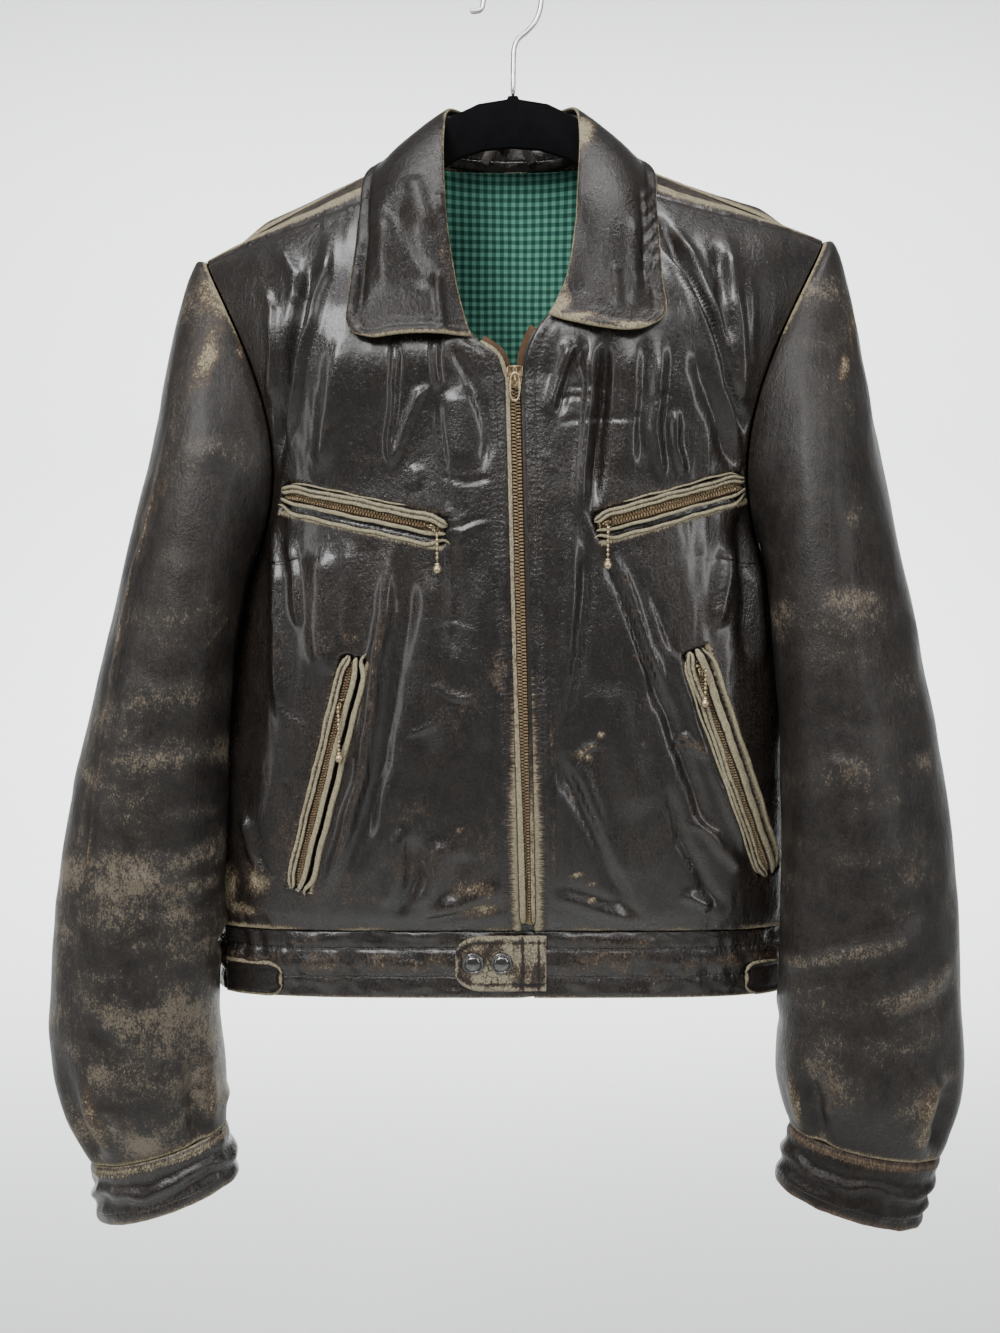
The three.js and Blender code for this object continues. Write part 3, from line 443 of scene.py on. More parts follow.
def tube(name: str, path: Array, radius: float, sides: int = 16) -> bpy.types.Object:
    """A round bar along a path: a circle carried by the path's own turning frame."""
    tangent = unit(np.gradient(path, axis=0))
    guide = np.array([0.0, 1.0, 0.0]) if abs(tangent[:, 1]).mean() < 0.8 else np.array([1.0, 0.0, 0.0])
    across = unit(np.cross(tangent, guide))
    angle = np.linspace(0, 2 * math.pi, sides, endpoint=False)
    circle = radius * np.stack([np.cos(angle), np.sin(angle)], axis=1)
    return sweep(name, path, across, unit(np.cross(across, tangent)), circle,
                 rounded_ends(len(path), 0.01, 0.5))


def turned(profile: Sequence[tuple], centre: Array, axis: Array, sides: int = 28) -> tuple[Array, Array]:
    """A lathe surface: (radius, height) pairs spun about an axis through centre, from pole to pole.

    Args:
        profile: from one end to the other; the ends' radii are nearly nothing.
        centre: where height is 0.
        axis: unit direction of height.
        sides: points round it.

    Returns:
        (vertices, quads).
    """
    p = np.asarray(profile, float)
    side = unit(np.cross(axis, [0.31, 0.52, 0.8]))
    other = np.cross(axis, side)
    angle = np.linspace(0, 2 * math.pi, sides, endpoint=False)
    ring = np.cos(angle)[:, None] * side + np.sin(angle)[:, None] * other
    points = centre + p[:, None, :1] * ring[None] + p[:, None, 1:] * axis
    high = len(p)
    return points.reshape(-1, 3), quads(high, sides, True)


def blocks(centres: Array, axes: Array, halves: Array, chamfer: float) -> tuple[Array, list]:
    """Many small boxes with cut edges, as one set of points.

    Args:
        centres: (n, 3).
        axes: (n, 3, 3), each block's own x, y and z directions.
        halves: (3,) or (n, 3) half sizes.
        chamfer: how much each edge is cut back.

    Returns:
        (vertices, [quads, triangles]).
    """
    n = len(centres)
    halves = np.broadcast_to(halves, (n, 3))
    signs = np.array([[x, y, z] for x in (-1, 1) for y in (-1, 1) for z in (-1, 1)], float)
    local = []
    for corner in signs:
        for keep in range(3):
            cut = np.full(3, chamfer)
            cut[keep] = 0
            local.append(corner * (halves - cut))
    local = np.stack(local, axis=1)
    points = centres[:, None] + np.einsum("nkc,ncd->nkd", local, axes)

    def at(x: int, y: int, z: int, keep: int) -> int:
        """The index of a corner's point on the face across the kept axis."""
        return 3 * (4 * (x > 0) + 2 * (y > 0) + (z > 0)) + keep

    faces, corners = [], []
    for keep in range(3):
        a, b = [k for k in range(3) if k != keep]
        for side in (-1, 1):
            loop = []
            for sa, sb in ((-1, -1), (1, -1), (1, 1), (-1, 1)):
                where = [0, 0, 0]
                where[keep], where[a], where[b] = side, sa, sb
                loop.append(at(*where, keep))
            faces.append(loop if (side > 0) == (keep != 1) else loop[::-1])
        for sa in (-1, 1):
            for sb in (-1, 1):
                low, high = [0, 0, 0], [0, 0, 0]
                low[a] = high[a] = sa
                low[b] = high[b] = sb
                low[keep], high[keep] = -1, 1
                loop = [at(*low, a), at(*high, a), at(*high, b), at(*low, b)]
                faces.append(loop if (sa * sb > 0) == (keep != 1) else loop[::-1])
    for x, y, z in signs.astype(int):
        loop = [at(x, y, z, 0), at(x, y, z, 1), at(x, y, z, 2)]
        corners.append(loop if x * y * z > 0 else loop[::-1])
    shift = 24 * np.arange(n)[:, None, None]
    return points.reshape(-1, 3), [
        (np.array(faces)[None] + shift).reshape(-1, 4),
        (np.array(corners)[None] + shift).reshape(-1, 3),
    ]


def joined(parts: Sequence[tuple]) -> tuple[Array, list]:
    """Several (vertices, faces) sets as one, with their faces' numbers moved on."""
    vertices, by_size, offset = [], {}, 0
    for points, faces in parts:
        for block in faces if isinstance(faces, list) else [faces]:
            by_size.setdefault(block.shape[1], []).append(block + offset)
        vertices.append(points)
        offset += len(points)
    return np.concatenate(vertices), [np.concatenate(same) for same in by_size.values()]


# ---------------------------------------------------------------- the body's form
WAIST_Z, ZIP_TOP_Z, ARMPIT_Z, ARMPIT_Y = -622.0, -262.0, -385.0, -6.0
ARMPIT_ROW, NECK_ROW, BACK_NECK_SHARE = 0.5, 0.5 + 5 / 24, 0.36
NECK_BACK = np.array([0.0, 42.0, -110.0])
ZIP_GAP, SHOULDER_RISE, BAND_HEIGHT, BAND_INSET = 4.4, 18.0, 47.0, 3.0
HIDE, DOUBLE_HIDE, CUFF_HIDE, CLOTH = 1.6, 2.4, 2.6, 1.0
SEAM = 0.6
TOWARDS, AWAY = np.array([0.0, -1.0, 0.0]), np.array([0.0, 1.0, 0.0])


def zip_x(z: Array) -> Array:
    """The zip's x at a height: it hangs a little off plumb."""
    return lerp(1.0, 10.5, np.clip((ZIP_TOP_Z - np.asarray(z, float)) / 360, 0, 1))


def front_depth(z: Array) -> Array:
    """Depth of the front edges: full at the chest, drawn in to the band."""
    keys = [WAIST_Z, -606, -540, -420, -330, ZIP_TOP_Z]
    return through(keys, [-64, -70, -77, -81, -81, -78], z)


def back_depth(z: Array) -> Array:
    """Depth of the centre back."""
    keys = [WAIST_Z - 14, -612, -540, -400, -280, -180, -110]
    return through(keys, [37, 42, 47, 52, 54, 52, 42], z)


def quarter(u: Array, amount: Array, squareness: float) -> tuple[Array, Array]:
    """Shares across and back along a squarish quarter round: powers of sine and cosine, cut off."""
    angle = (math.pi / 2) * np.minimum(0.999, amount)
    power = 2 / squareness
    across = np.sin(angle * u) ** power / np.sin(angle) ** power
    back = (1 - np.maximum(0, np.cos(angle * u)) ** power) / (1 - np.cos(angle) ** power)
    return across, back


def turn_share(v: Array) -> Array:
    """How far round the side a row turns before it ends, in quarter turns."""
    return through([0, 0.42, 0.5, 0.62, 0.8, 1], [1, 1, 0.98, 0.72, 0.5, 0.3], v)


@dataclass(frozen=True)
class BodySide:
    """One side of the body; sign is -1 on your left and +1 on your right.

    A front or half back is a surface of u, from the centre to the side, and v, from the waist to the
    shoulder.
    """

    sign: float
    tip: tuple
    armpit_x: float
    neck_point: tuple
    seam_mid: tuple
    side_x: tuple
    armhole_front: float
    armhole_back: float
    armhole_inset: float
    neck: tuple

    def armhole(self, angle: Array) -> Array:
        """The armhole seam: angle 0 is the shoulder tip, pi the armpit, the front in between."""
        c, s = np.cos(angle), np.sin(angle)
        x = lerp(self.armpit_x, self.tip[0], (1 + c) / 2) + self.armhole_inset * s * s * (1 - 0.3 * c)
        y = ARMPIT_Y - np.where(s > 0, self.armhole_front, self.armhole_back) * s
        return vec(x, y, lerp(ARMPIT_Z, self.tip[1], (1 + c) / 2))

    def row_outer(self, v: Array, facing: int) -> Array:
        """A row's outer end: the side seam below the armpit, the armhole above it."""
        low = vec(through([0, 0.07, 0.2, 0.36, 0.5], self.side_x, v), ARMPIT_Y,
                  lerp(WAIST_Z - 8, ARMPIT_Z, v / ARMPIT_ROW))
        high = self.armhole(facing * math.pi * (1 - (v - ARMPIT_ROW) / (1 - ARMPIT_ROW)))
        return np.where((v <= ARMPIT_ROW)[..., None], low, high)

    def front_inner(self, v: Array) -> Array:
        """The zip edge, then the neck edge."""
        z = lerp(WAIST_Z, ZIP_TOP_Z, v / NECK_ROW)
        low = vec(zip_x(z) + self.sign * ZIP_GAP, front_depth(z), z)
        rows = np.asarray(self.neck, float)
        high = through(rows[:, 0], rows[:, 1:], np.clip((v - NECK_ROW) / (1 - NECK_ROW), 0, 1))
        return np.where((v <= NECK_ROW)[..., None], low, high)

    def shoulder(self, share: Array) -> Array:
        """The shoulder seam from the neck point to the tip."""
        tip = self.armhole(np.array(0.0))
        return through([0, 0.28, 1], [self.neck_point, self.seam_mid, tip], share)

    def front(self, u: Array, v: Array) -> Array:
        """Points of the front: a squarish quarter round from the inner to the outer edge of each row."""
        u, v = np.broadcast_arrays(np.asarray(u, float), np.asarray(v, float))
        inner, outer = self.front_inner(v), self.row_outer(v, 1)
        across, back = quarter(u, turn_share(v), 2.5)
        full = 9 * np.sin(math.pi * u) * ease((v - 0.6) / 0.15) * ease((1 - v) / 0.2)
        here = vec(
            lerp(inner[..., 0], outer[..., 0], across),
            lerp(inner[..., 1], outer[..., 1], back) - full,
            lerp(inner[..., 2], outer[..., 2], ease(u)),
        )
        rise = np.clip((v - 0.74) / 0.26, 0, 1) ** 2
        one = np.array(1.0)
        a, b = quarter(u, turn_share(one), 2.5)
        neck, tip = self.front_inner(one), self.row_outer(one, 1)
        base = vec(lerp(neck[0], tip[0], a), lerp(neck[1], tip[1], b), lerp(neck[2], tip[2], ease(u)))
        return here + (self.shoulder(u**0.9) - base) * rise[..., None]

    def back_top(self, u: Array) -> Array:
        """The back's top edge: a quarter round half neck, then the shoulder seam."""
        turned_by = (math.pi / 2) * np.clip(u / BACK_NECK_SHARE, 0, 1)
        nx, ny, nz = self.neck_point
        c = np.cos(turned_by)
        neck = vec(nx * np.sin(turned_by), lerp(ny, NECK_BACK[1], c), lerp(nz, NECK_BACK[2], c))
        seam = self.shoulder(np.clip((u - BACK_NECK_SHARE) / (1 - BACK_NECK_SHARE), 0, 1))
        return np.where((u > BACK_NECK_SHARE)[..., None], seam, neck)

    def back(self, u: Array, v: Array) -> Array:
        """Points of half the back, standing up a little over the hanger just behind the shoulder seam."""
        u, v = np.broadcast_arrays(np.asarray(u, float), np.asarray(v, float))

        def blended(share: Array, mid: Array, end: Array) -> Array:
            """A squarish quarter round from mid to end."""
            across, back = quarter(u, turn_share(share), 2.7)
            parts = [lerp(mid[..., k], end[..., k], s) for k, s in enumerate((across, back, ease(u)))]
            return vec(*parts)

        z = lerp(WAIST_Z - 14, NECK_BACK[2], v)
        here = blended(v, vec(lerp(8.0, 0.0, v), back_depth(z), z), self.row_outer(v, -1))
        rise = np.clip((v - 0.72) / 0.28, 0, 1) ** 2
        base = blended(np.ones_like(v), NECK_BACK, self.armhole(np.array(0.0)))
        here = here + (self.back_top(u) - base) * rise[..., None]
        stand = ease((u - 0.3) / 0.1) * ease((1 - u) / 0.2)
        here[..., 2] += (SHOULDER_RISE * stand * np.clip((v - 0.8) / 0.16, 0, 1)
                         * np.clip((1 - v) / 0.045, 0, 1))
        return here

    def band(self, facing: int, u: Array, w: Array) -> Array:
        """Points of the waistband: the panel's bottom row moved inwards, w of the way down."""
        row = self.front if facing > 0 else self.back
        zero = np.zeros_like(u)
        run = row(np.minimum(1, u + 0.01), zero) - row(np.maximum(0, u - 0.01), zero)
        p = row(u, zero)
        inwards = unit(vec(run[..., 1], -run[..., 0], 0))
        flip = np.sum(inwards * p * [1, 1, 0], axis=-1, keepdims=True) > 0
        p = p + np.where(flip, -inwards, inwards) * BAND_INSET
        return p + vec(0, 0, -1.2 - BAND_HEIGHT * w)


LEFT = BodySide(
    -1, (-201, -183), -176, (-61, -9, -113), (-101, -11, -131.5), (-210, -207, -202, -191, -177), 44, 36, 31,
    ((0, -4.2, -78, ZIP_TOP_Z), (0.1, -9, -79, -250), (0.22, -22, -78.5, -240), (0.42, -43, -72, -213),
     (0.62, -57, -54, -179), (0.82, -64, -32, -146), (1, -61, -9, -113)),
)
RIGHT = BodySide(
    1, (204, -170), 172, (59, -9, -111), (96, -11, -129), (196, 193, 190, 185, 173), 46, 36, -33,
    ((0, 6.2, -78, ZIP_TOP_Z), (0.1, 8, -79.5, -248), (0.22, 16, -79.5, -232), (0.42, 38, -73, -207),
     (0.62, 54, -54, -175), (0.82, 62, -32, -144), (1, 59, -9, -111)),
)


@dataclass(frozen=True)
class SleeveForm:
    """A sleeve and its cuff.

    Each ring is: key, outer x and z, inner x and z, middle depth, front and back half depths, lean, inset.
    """

    side: BodySide
    rings: tuple
    drop: tuple

    def ring(self, t: Array, angle: Array) -> Array:
        """A ring's point: angle 0 is outside, pi/2 in front, pi inside."""
        rows = np.asarray(self.rings, float)
        ox, oz, ix, iz, mid, front, back, lean, inset = np.moveaxis(
            through(rows[:, 0], rows[:, 1:], t), -1, 0
        )
        c, s = np.cos(angle), np.sin(angle)
        x = lerp(ix, ox, (1 + c) / 2) + lean * s + inset * s * s * (1 - 0.3 * c)
        return vec(x, mid - np.where(s > 0, front, back) * s, lerp(iz, oz, (1 + c) / 2))

    def middle(self, t: Array) -> Array:
        """The middle of a ring."""
        zero = np.zeros_like(t)
        return (self.ring(t, zero) + self.ring(t, zero + math.pi)) / 2

    def cuff(self, w: Array, angle: Array) -> Array:
        """A cuff point, w of the way from the sleeve's end to the free edge."""
        one = np.ones_like(w)
        p = self.ring(one, angle)
        outwards = unit(p - self.middle(one))
        out_x, out_z, in_x, in_z = self.drop
        inner = (1 - np.cos(angle)) / 2
        fall = vec(lerp(out_x, in_x, inner), 0, lerp(out_z, in_z, inner))
        return p + fall * w[..., None] + outwards * (1.6 * np.sin(math.pi * w))[..., None]


SLEEVE_LEFT = SleeveForm(LEFT, (
    (0, -201, -183, -176, -385, -6, 44, 36, 0, 31), (0.03, -208, -184, -176.5, -390, -8, 47, 37, 2, 27),
    (0.1, -219, -214, -178.3, -404, -13, 52, 40, 6, 15), (0.19, -229, -262, -181, -420, -19, 56, 42, 9, 5),
    (0.29, -240, -318, -185, -442, -25, 57, 44, 10, 0), (0.4, -255, -378, -187.5, -470, -30, 57, 46, 8, 0),
    (0.52, -271, -442, -190, -505, -33, 56, 48, 5, 0), (0.65, -290, -520, -192, -556, -37, 54, 49, 0, 0),
    (0.78, -307, -604, -195.5, -620, -41, 52, 48, 0, 0), (0.88, -314, -682, -200, -684, -44, 49, 45, 0, 0),
    (0.94, -311, -738, -196, -726, -46, 46, 41, 0, 0), (1, -290, -792, -197, -767, -48, 29, 28, 0, 0),
), (3, -42, 7, -36))
SLEEVE_RIGHT = SleeveForm(RIGHT, (
    (0, 204, -170, 172, -385, -6, 46, 36, 0, -33), (0.03, 210, -172, 172, -390, -9, 49, 37, -2, -28),
    (0.1, 219, -200, 173, -404, -16, 54, 40, -9, -15), (0.19, 229, -250, 174, -420, -24, 58, 42, -16, -5),
    (0.29, 240, -310, 175.5, -442, -32, 58, 44, -20, 0), (0.4, 254, -372, 177, -470, -39, 57, 46, -20, 0),
    (0.52, 269, -440, 178.5, -505, -45, 55, 47, -19, 0), (0.65, 285, -520, 179.5, -556, -51, 53, 47, -17, 0),
    (0.78, 296, -600, 179, -620, -57, 50, 46, -14, 0), (0.88, 299, -672, 178, -680, -62, 48, 43, -8, 0),
    (0.94, 301, -726, 177, -720, -65, 45, 39, -4, 0), (1, 289, -778, 188, -758, -66, 29, 28, 0, 0),
), (-12, -48, -8, -40))


# ---------------------------------------------------------------- shader writing
Value = Union["Wire", float]


class Wire:
    """A node's output, with arithmetic that adds Math nodes."""

    def __init__(self, tree: "Shader", socket: bpy.types.NodeSocket) -> None:
        """Keeps the tree and the output."""
        self.tree, self.socket = tree, socket

    def _math(self, operation: str, *values: Value) -> "Wire":
        """A Math node on these values."""
        return self.tree.node("ShaderNodeMath", {"operation": operation}, dict(enumerate(values)))

    def __add__(self, other: Value) -> "Wire":
        """self + other."""
        return self._math("ADD", self, other)

    def __sub__(self, other: Value) -> "Wire":
        """self - other."""
        return self._math("SUBTRACT", self, other)

    def __rsub__(self, other: Value) -> "Wire":
        """other - self."""
        return self._math("SUBTRACT", other, self)

    def __mul__(self, other: Value) -> "Wire":
        """self × other."""
        return self._math("MULTIPLY", self, other)

    def __truediv__(self, other: Value) -> "Wire":
        """self / other."""
        return self._math("DIVIDE", self, other)

    __radd__, __rmul__ = __add__, __mul__

    def abs(self) -> "Wire":
        """Its size without its sign."""
        return self._math("ABSOLUTE", self)

    def sine(self) -> "Wire":
        """Its sine."""
        return self._math("SINE", self)

    def least(self, other: Value) -> "Wire":
        """The lesser of the two."""
        return self._math("MINIMUM", self, other)

    def most(self, other: Value) -> "Wire":
        """The greater of the two."""
        return self._math("MAXIMUM", self, other)

    def step(self, low: float, high: float) -> "Wire":
        """0 below low, 1 above high, eased between; low may be the greater."""
        settings = {"interpolation_type": "SMOOTHSTEP", "clamp": True}
        if low > high:
            return 1 - self.step(high, low)
        return self.tree.node("ShaderNodeMapRange", settings,
                              {"Value": self, "From Min": low, "From Max": high})


class Shader:
    """One material being wired up."""

    def __init__(self, name: str) -> None:
        """An empty material with its output.

        Args:
            name: the material's name.
        """
        self.material = bpy.data.materials.new(name)
        self.material.use_nodes = True
        self.nodes, self.links = self.material.node_tree.nodes, self.material.node_tree.links
        self.nodes.clear()
        self.place = self.node("ShaderNodeTexCoord", {}, {}, "Object")

    def node(self, kind: str, settings: dict, values: dict, output: Union[str, int] = 0) -> Wire:
        """Adds a node.

        Args:
            kind: the node's type.
            settings: its properties, set first; a ramp's stops under "stops".
            values: numbers, colours or wires by input name or number.
            output: which output to return.

        Returns:
            That output.
        """
        made = self.nodes.new(kind)
        for key, value in settings.items():
            if key == "stops":
                ramp = made.color_ramp.elements
                while len(ramp) < len(value):
                    ramp.new(0.5)
                for element, (position, colour) in zip(ramp, value):
                    element.position, element.color = position, (*colour, 1)
            else:
                setattr(made, key, value)
        for key, value in values.items():
            if isinstance(value, Wire):
                self.links.new(value.socket, made.inputs[key])
            elif isinstance(value, tuple) and len(value) == 3 and made.inputs[key].type == "RGBA":
                made.inputs[key].default_value = (*value, 1)
            else:
                made.inputs[key].default_value = value
        return Wire(self, made.outputs[output])

    def attribute(self, name: str) -> Wire:
        """A point attribute's number."""
        return self.node("ShaderNodeAttribute", {"attribute_name": name}, {}, "Fac")

    def stretched(self, cell: Sequence[float]) -> Wire:
        """Object place with one unit for each cell of these millimetres."""
        scale = tuple(1000 / c for c in cell)
        return self.node("ShaderNodeVectorMath", {"operation": "MULTIPLY"}, {0: self.place, 1: scale})

    def clouds(self, cell: Sequence[float], detail: float = 3, rough: float = 0.55, bend: float = 0) -> Wire:
        """Noise about 0.5 whose blots are about one cell wide."""
        values = {"Vector": self.stretched(cell), "Scale": 1.0, "Detail": detail, "Roughness": rough,
                  "Distortion": bend}
        return self.node("ShaderNodeTexNoise", {}, values)

    def cells(self, size: float, feature: str, vector: Wire = None) -> Wire:
        """Voronoi distance with cells of this many millimetres."""
        where = vector or self.stretched((size, size, size))
        return self.node("ShaderNodeTexVoronoi", {"feature": feature}, {"Vector": where, "Scale": 1.0},
                         "Distance")

    def mix(self, share: Value, first: Union[Wire, tuple], second: Union[Wire, tuple]) -> Wire:
        """The colour a share of the way from first to second."""
        return self.node("ShaderNodeMix", {"data_type": "RGBA"}, {0: share, 6: first, 7: second}, 2)

    def bump(self, height: Wire, strength: float = 1.0, under: Wire = None) -> Wire:
        """A normal from a height in millimetres."""
        values = {"Height": height, "Strength": strength, "Distance": 0.001}
        if under:
            values["Normal"] = under
        return self.node("ShaderNodeBump", {}, values)

    def finish(self, **sockets: Union[Wire, float, tuple]) -> bpy.types.Material:
        """Ends in a Principled shader with these inputs, their names with _ for spaces."""
        values = {key.replace("_", " "): value for key, value in sockets.items()}
        shader = self.node("ShaderNodeBsdfPrincipled", {}, values)
        self.node_out = self.nodes.new("ShaderNodeOutputMaterial")
        self.links.new(shader.socket, self.node_out.inputs["Surface"])
        return self.material


class Edge(Enum):
    """The border that a stitch line follows."""

    FIRST_COLUMN = ("u0", "v0")
    FIRST_ROW = ("v0", "u0")
    LAST_ROW = ("v1", "u0")


@dataclass(frozen=True)
class Stitch:
    """A line of stitching at a distance from a border, and how much the hide puckers and wears beside it."""

    edge: Edge
    inset: float
    pucker: float = 0.5
    wear: float = 0.3


@dataclass(frozen=True)
class Hide:
    """A leather finish: dark hide that rubs through reddish brown to tan.

    Attributes:
        base: unworn colour.
        dust: colour of scuffed places.
        warmth: how brown the raised grain is in broad blots.
        veil: colour of the dry haze over it, and haze how much of it there is.
        gloss: roughness where unworn.
        shine: how strongly it reflects.
        coat: how much polish lies on it.
        brown, tan: colours that the hide rubs through to.
        grain, pebble: heights of the fine grain and of the pillows between its furrows.
        rumple, drape: heights of the small and the broad unevenness.
        crackle: how deep and dark the cracks are.
        rim_wear: how much every border is rubbed, and rim_reach how many millimetres in.
        stitches: rows of stitching.
    """

    name: str
    base: tuple = (0.0080, 0.0068, 0.0061)
    veil: tuple = (0.062, 0.055, 0.048)
    haze: float = 0.25
    warmth: float = 0.4
    dust: tuple = (0.135, 0.112, 0.082)
    brown: tuple = (0.062, 0.041, 0.027)
    tan: tuple = (0.31, 0.265, 0.17)
    gloss: float = 0.36
    shine: float = 0.4
    coat: float = 0.25
    grain: float = 1.0
    pebble: float = 0.5
    rumple: float = 0.3
    drape: float = 0.5
    crackle: float = 0.5
    rim_wear: float = 0.75
    rim_reach: float = 3.0
    stitches: tuple = ()

    def material(self) -> bpy.types.Material:
        """Wires the hide: how worn it is comes from attributes and noise, cut off for brown and for tan."""
        s = Shader(self.name)
        blots, fine = s.clouds((15, 15, 22), 4, 0.6), s.clouds((1.1, 1.1, 1.6), 3, 0.65)
        mid = s.clouds((4.2, 4.2, 6), 3, 0.6, 0.6)
        wear = s.attribute("wear")
        rubbed = s.attribute("rim").step(self.rim_reach, 0.2) * self.rim_wear
        level = wear.most(rubbed) * 1.1 + (blots - 0.5) * 0.55 + (mid - 0.5) * 0.6 + (fine - 0.5) * 0.95
        across = s.clouds((5.5, 5.5, 0.75), 3, 0.6)
        upright = s.clouds((0.75, 0.75, 5.5), 3, 0.6)
        level = level.most(s.attribute("wear_x") * 1.2 + (across - 0.5) * 1.5 + (blots - 0.5) * 0.4)
        level = level.most(s.attribute("wear_z") * 1.2 + (upright - 0.5) * 1.5 + (blots - 0.5) * 0.4)
        grain = s.cells(1.3, "DISTANCE_TO_EDGE").least(0.3)
        wander = s.node("ShaderNodeTexNoise", {},
                        {"Vector": s.stretched((5, 5, 5)), "Scale": 1.0, "Detail": 3.0}, "Color")
        bent = s.node("ShaderNodeVectorMath", {"operation": "ADD"},
                      {0: s.stretched((6.5, 6.5, 8)), 1: wander})
        pillows = s.cells(1, "DISTANCE_TO_EDGE", s.node(
            "ShaderNodeVectorMath", {"operation": "ADD"}, {
                0: s.stretched((3.1, 3.1, 4.4)), 1: wander
            })).least(0.34)
        cracks = s.cells(1, "DISTANCE_TO_EDGE", bent).step(0.06, 0.0) * blots.step(0.46, 0.66)
        height = grain * (0.2 * self.grain) + pillows * self.pebble
        drape = s.clouds((2.6, 2.6, 15), 3, 0.55, 0.3) * s.clouds((38, 38, 55), 2).step(0.42, 0.62)
        height = (height - cracks * (0.16 * self.crackle) + (mid - 0.5) * self.rumple + (fine - 0.5) * 0.17
                  + drape * self.drape)
        for stitch in self.stitches:
            away, along = (s.attribute(name) for name in stitch.edge.value)
            distance = (away - stitch.inset).abs()
            groove, near = distance.step(0.9, 0.1), distance.step(5.5, 0.8)
            wave = (along * (2 * math.pi / 3.6) + (mid - 0.5) * 16.0).sine() * 0.5 + 0.5
            streak = wave * near * blots.step(0.32, 0.55)
            height = height + streak * (0.34 * stitch.pucker) - groove * 0.42
            level = level.most(streak * (stitch.wear * 1.1) + near * (stitch.wear * 0.3) + (fine - 0.5) * 0.8
                               - groove * 0.5)
        browned, tanned = level.step(0.36, 0.66), level.step(0.58, 0.9)
        dusty = (blots * 0.8 + fine * 0.4 + s.attribute("scuff") * 0.75).step(0.5, 1.05) * self.haze
        colour = s.mix(
            dusty,
            s.mix((mid * 0.6 + fine * 0.4).step(0.36, 0.66), self.base,
                  tuple(c * k for c, k in zip(self.base, (2.0, 1.75, 1.6)))),
            self.veil
        )
        scuffed = (
            s.attribute("scuff") * 0.9 + (blots - 0.5) * 0.5 + (mid - 0.5) * 1.0 + (fine - 0.5) * 1.6
        ).step(0.38, 0.9)
        broad = s.clouds((55, 55, 75), 3, 0.6)
        colour = s.mix(fine.step(0.45, 0.75) * broad.step(0.42, 0.66) * self.warmth, colour, self.brown)
        colour = s.mix(scuffed * 0.85, colour, self.dust)
        colour = s.mix(browned * 0.85, colour, self.brown)
        colour = s.mix(tanned, colour,
                       s.mix(fine.step(0.35, 0.7), tuple(c * 0.55 for c in self.tan), self.tan))
        colour = s.mix(cracks * (0.8 * self.crackle), colour, tuple(c * 0.5 for c in self.base))
        rough = (blots - 0.5) * 0.14 + (fine - 0.5) * 0.1 + self.gloss
        rough = rough + (browned * 0.12 + tanned * 0.16 + dusty * 0.2) * 1.0
        return s.finish(
            Base_Color=colour,
            Roughness=rough.most(0.16).least(0.8),
            Coat_Weight=(1 - browned) * self.coat,
            Coat_Roughness=0.2,
            Specular_IOR_Level=self.shine,
            Normal=s.bump(height),
        )


@dataclass(frozen=True)
class Gingham:
    """A small woven check: pale thread, half-dark where one way's stripe crosses, dark where both do."""

    name: str = "gingham"
    repeat: float = 5.5
    pale: tuple = (0.155, 0.40, 0.295)
    middle: tuple = (0.05, 0.185, 0.133)
    dark: tuple = (0.01, 0.06, 0.045)

    def material(self) -> bpy.types.Material:
        """Stripes are a sine of the cloth's own millimetres, sharpened, added for the two ways."""
        s = Shader(self.name)
        ripple = (s.clouds((30, 30, 30), 2) - 0.5) * 1.2
        ways = []
        for name in ("u0", "v0"):
            run = s.attribute(name) + ripple
            ways.append((run * (2 * math.pi / self.repeat)).sine().step(-0.25, 0.3))
        both = ways[0] + ways[1]
        colour = s.mix(both.step(0.15, 0.85), self.dark, self.middle)
        colour = s.mix(both.step(1.15, 1.85), colour, self.pale)
        threads = [(s.attribute(name) * (2 * math.pi / 0.55)).sine() for name in ("u0", "v0")]
        weave = threads[0] * threads[1]
        colour = s.mix(s.clouds((0.9, 0.9, 0.9), 2).step(0.3, 0.8) * 0.25, colour, self.dark)
        return s.finish(Base_Color=colour, Roughness=0.85, Specular_IOR_Level=0.3,
                        Normal=s.bump(weave * 0.05))


@dataclass(frozen=True)
class Metal:
    """A metal finish: polish broken by tarnish and fine scratches.

    amount is how much tarnish there is, rough the roughness of the polish, relief the share of its bump.
    """

    name: str
    colour: tuple
    tarnish: tuple
    rough: float
    amount: float = 0.4
    relief: float = 1.0

    def material(self) -> bpy.types.Material:
        """Tarnish is noise cut off; scratches are noise stretched one way."""
        s = Shader(self.name)
        blot, scratch = s.clouds((2.6, 2.6, 2.6), 4, 0.65), s.clouds((0.3, 0.3, 4), 2)
        dull = blot.step(0.62, 0.38) * self.amount
        return s.finish(
            Base_Color=s.mix(dull, self.colour, self.tarnish),
            Metallic=1 - dull * 0.35,
            Roughness=dull * 0.3 + (scratch - 0.5) * 0.16 + self.rough,
            Normal=s.bump(((scratch - 0.5) * 0.05 + (blot - 0.5) * 0.06) * self.relief),
        )


@dataclass(frozen=True)
class Cloth:
    """A plain woven or napped cloth, velvet or zip tape: thread is the size of its mottling."""

    name: str
    colour: tuple
    shade: tuple
    thread: float = 0.5
    sheen: float = 0.3

    def material(self) -> bpy.types.Material:
        """Two colours mottled at thread size, with a raised nap."""
        s = Shader(self.name)
        nap, blot = s.clouds((self.thread,) * 3, 3, 0.7), s.clouds((7, 7, 7), 3)
        colour = s.mix((nap * 0.7 + blot * 0.5).step(0.35, 0.85), self.shade, self.colour)
        return s.finish(Base_Color=colour, Roughness=0.93, Specular_IOR_Level=0.1, Sheen_Weight=self.sheen,
                        Normal=s.bump(nap * 0.22))


